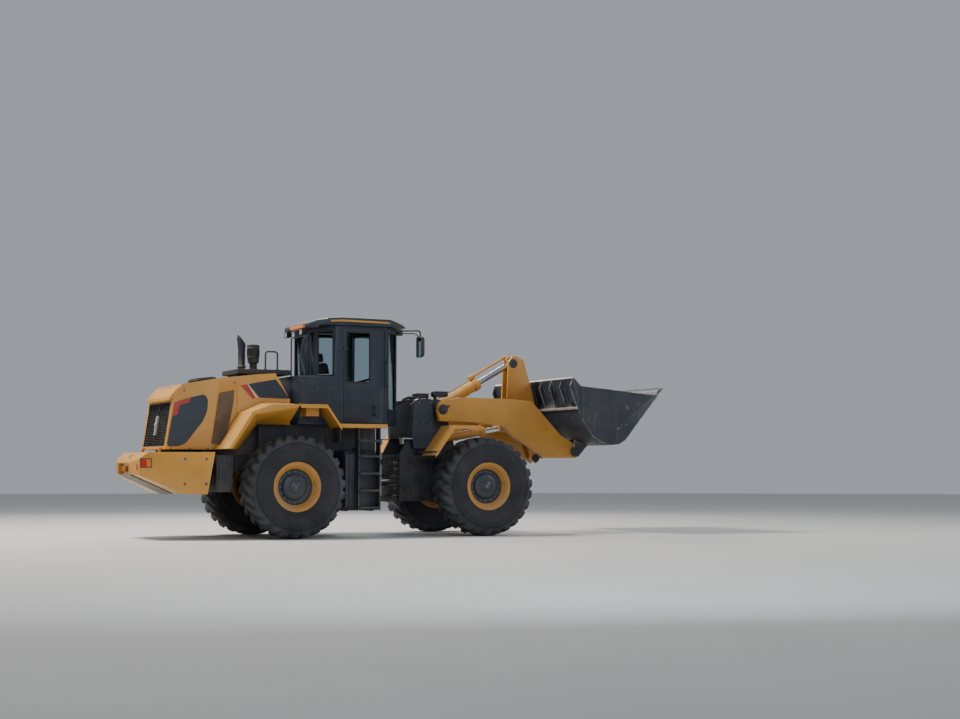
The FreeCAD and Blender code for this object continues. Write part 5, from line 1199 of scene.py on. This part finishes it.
nodeLook = {
    "rear_axle": (castIron, 0.008), "front_axle": (castIron, 0.008), "rear_frame": (frameSteel, 0.005),
    "front_frame": (frameSteel, 0.005), "pivot_pins": (frameSteel, 0.003), "counterweight": (paint, 0.012),
    "tow_pin": (boltSteel, 0.002), "engine": (castIron, 0.010), "cooler": (blackPlastic, 0.004),
    "engine_deck": (frameSteel, 0.006), "hood": (paint, 0.022), "side_tanks": (charcoal, 0.022),
    "battery_boxes": (frameSteel, 0.006), "cab_frame": (charcoal, 0.006), "cab_glass": (cabGlass, 0.0005),
    "cab_roof": (charcoal, 0.022), "door_right": (charcoal, 0.005), "door_left": (charcoal, 0.005),
    "door_glass_right": (cabGlass, 0.0005), "door_glass_left": (cabGlass, 0.0005), "boom": (armPaint, 0.005),
    "bell_crank": (armPaint, 0.010), "bucket_link": (armPaint, 0.005), "bucket": (bucketSteel, 0.005)}


def dressNode(name, material, width):
    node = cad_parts[name]
    node.data.materials.clear()
    node.data.materials.append(material)
    weld = node.modifiers.new("weld", "WELD")
    weld.merge_threshold = meshLook["weld"]
    flat = node.modifiers.new("flat", "DECIMATE")
    flat.decimate_type = "DISSOLVE"
    flat.angle_limit = math.radians(1.0)
    softEdges(node, width, 2, 25)
    smooth(node.data, 30)


for name, (material, width) in nodeLook.items():
    dressNode(name, material, width)
print("carried-over solids dressed")


# Floor, lights and camera

stageLook = {"floor": (0.60, 0.595, 0.585), "second": (0.57, 0.565, 0.555), "roughness": 0.85, "radius": 60,
             "sky": (0.80, 0.86, 0.95), "skyStrength": 0.44}
lights = {  # place, aim, size, power, colour
    "key": ((-8.0, 2.0, 14.0), (0, 0, 1.0), 4.0, 3300, (1.0, 0.94, 0.84)),
    "fill": ((-4.0, -15.0, 6.0), (0, 0, 1.2), 9.0, 420, (0.86, 0.92, 1.0)),
    "front": ((12.0, -9.0, 7.0), (2, 0, 1.2), 6.0, 420, (0.95, 0.97, 1.0)),
    "rim": ((4.0, 12.0, 9.0), (0, 0, 1.5), 6.0, 900, (1.0, 0.97, 0.92))}
cameraView = {"place": (-10.4948, -26.4088, 1.0202), "pitch": 3.831, "yaw": 25.5305, "lens": 63.75, "sensor": 36}


def addStage():
    bpy.ops.mesh.primitive_circle_add(vertices=96, radius=stageLook["radius"], fill_type="NGON",
                                      location=(0, 0, -0.001))
    floor = bpy.context.object
    floor.name = "stageFloor"
    made, tree, shader, place = newFinish("floorFinish")
    tone = mixed(tree, patches(tree, place, 0.6, 0.3, 0.7), stageLook["floor"] + (1,), stageLook["second"] + (1,))
    tree.links.new(tone, shader.inputs["Base Color"])
    shader.inputs["Roughness"].default_value = stageLook["roughness"]
    floor.data.materials.append(made)


def addLight(name, place, aim, size, power, colour):
    data = bpy.data.lights.new(name, "AREA")
    data.shape = "DISK"
    data.size = size
    data.energy = power
    data.color = colour
    lamp = bpy.data.objects.new(name, data)
    lamp.location = place
    lamp.rotation_euler = (Vector(aim) - Vector(place)).to_track_quat("-Z", "Y").to_euler()
    bpy.context.scene.collection.objects.link(lamp)


def addCamera():
    camera = bpy.data.objects.new("photoCamera", bpy.data.cameras.new("photoCamera"))
    camera.data.lens = cameraView["lens"]
    camera.data.sensor_width = cameraView["sensor"]
    camera.location = Vector(cameraView["place"]) + Vector((hingeX, 0, 0))
    camera.rotation_euler = (math.radians(90 + cameraView["pitch"]), 0, math.radians(-cameraView["yaw"]))
    bpy.context.scene.collection.objects.link(camera)
    bpy.context.scene.camera = camera


addStage()
for name, settings in lights.items():
    addLight(name, *settings)
world = bpy.data.worlds.new("studio")
world.use_nodes = True
sky = world.node_tree.nodes["Background"]
sky.inputs["Color"].default_value = stageLook["sky"] + (1,)
sky.inputs["Strength"].default_value = stageLook["skyStrength"]
bpy.context.scene.world = world
addCamera()
print("stage, lights and camera done")
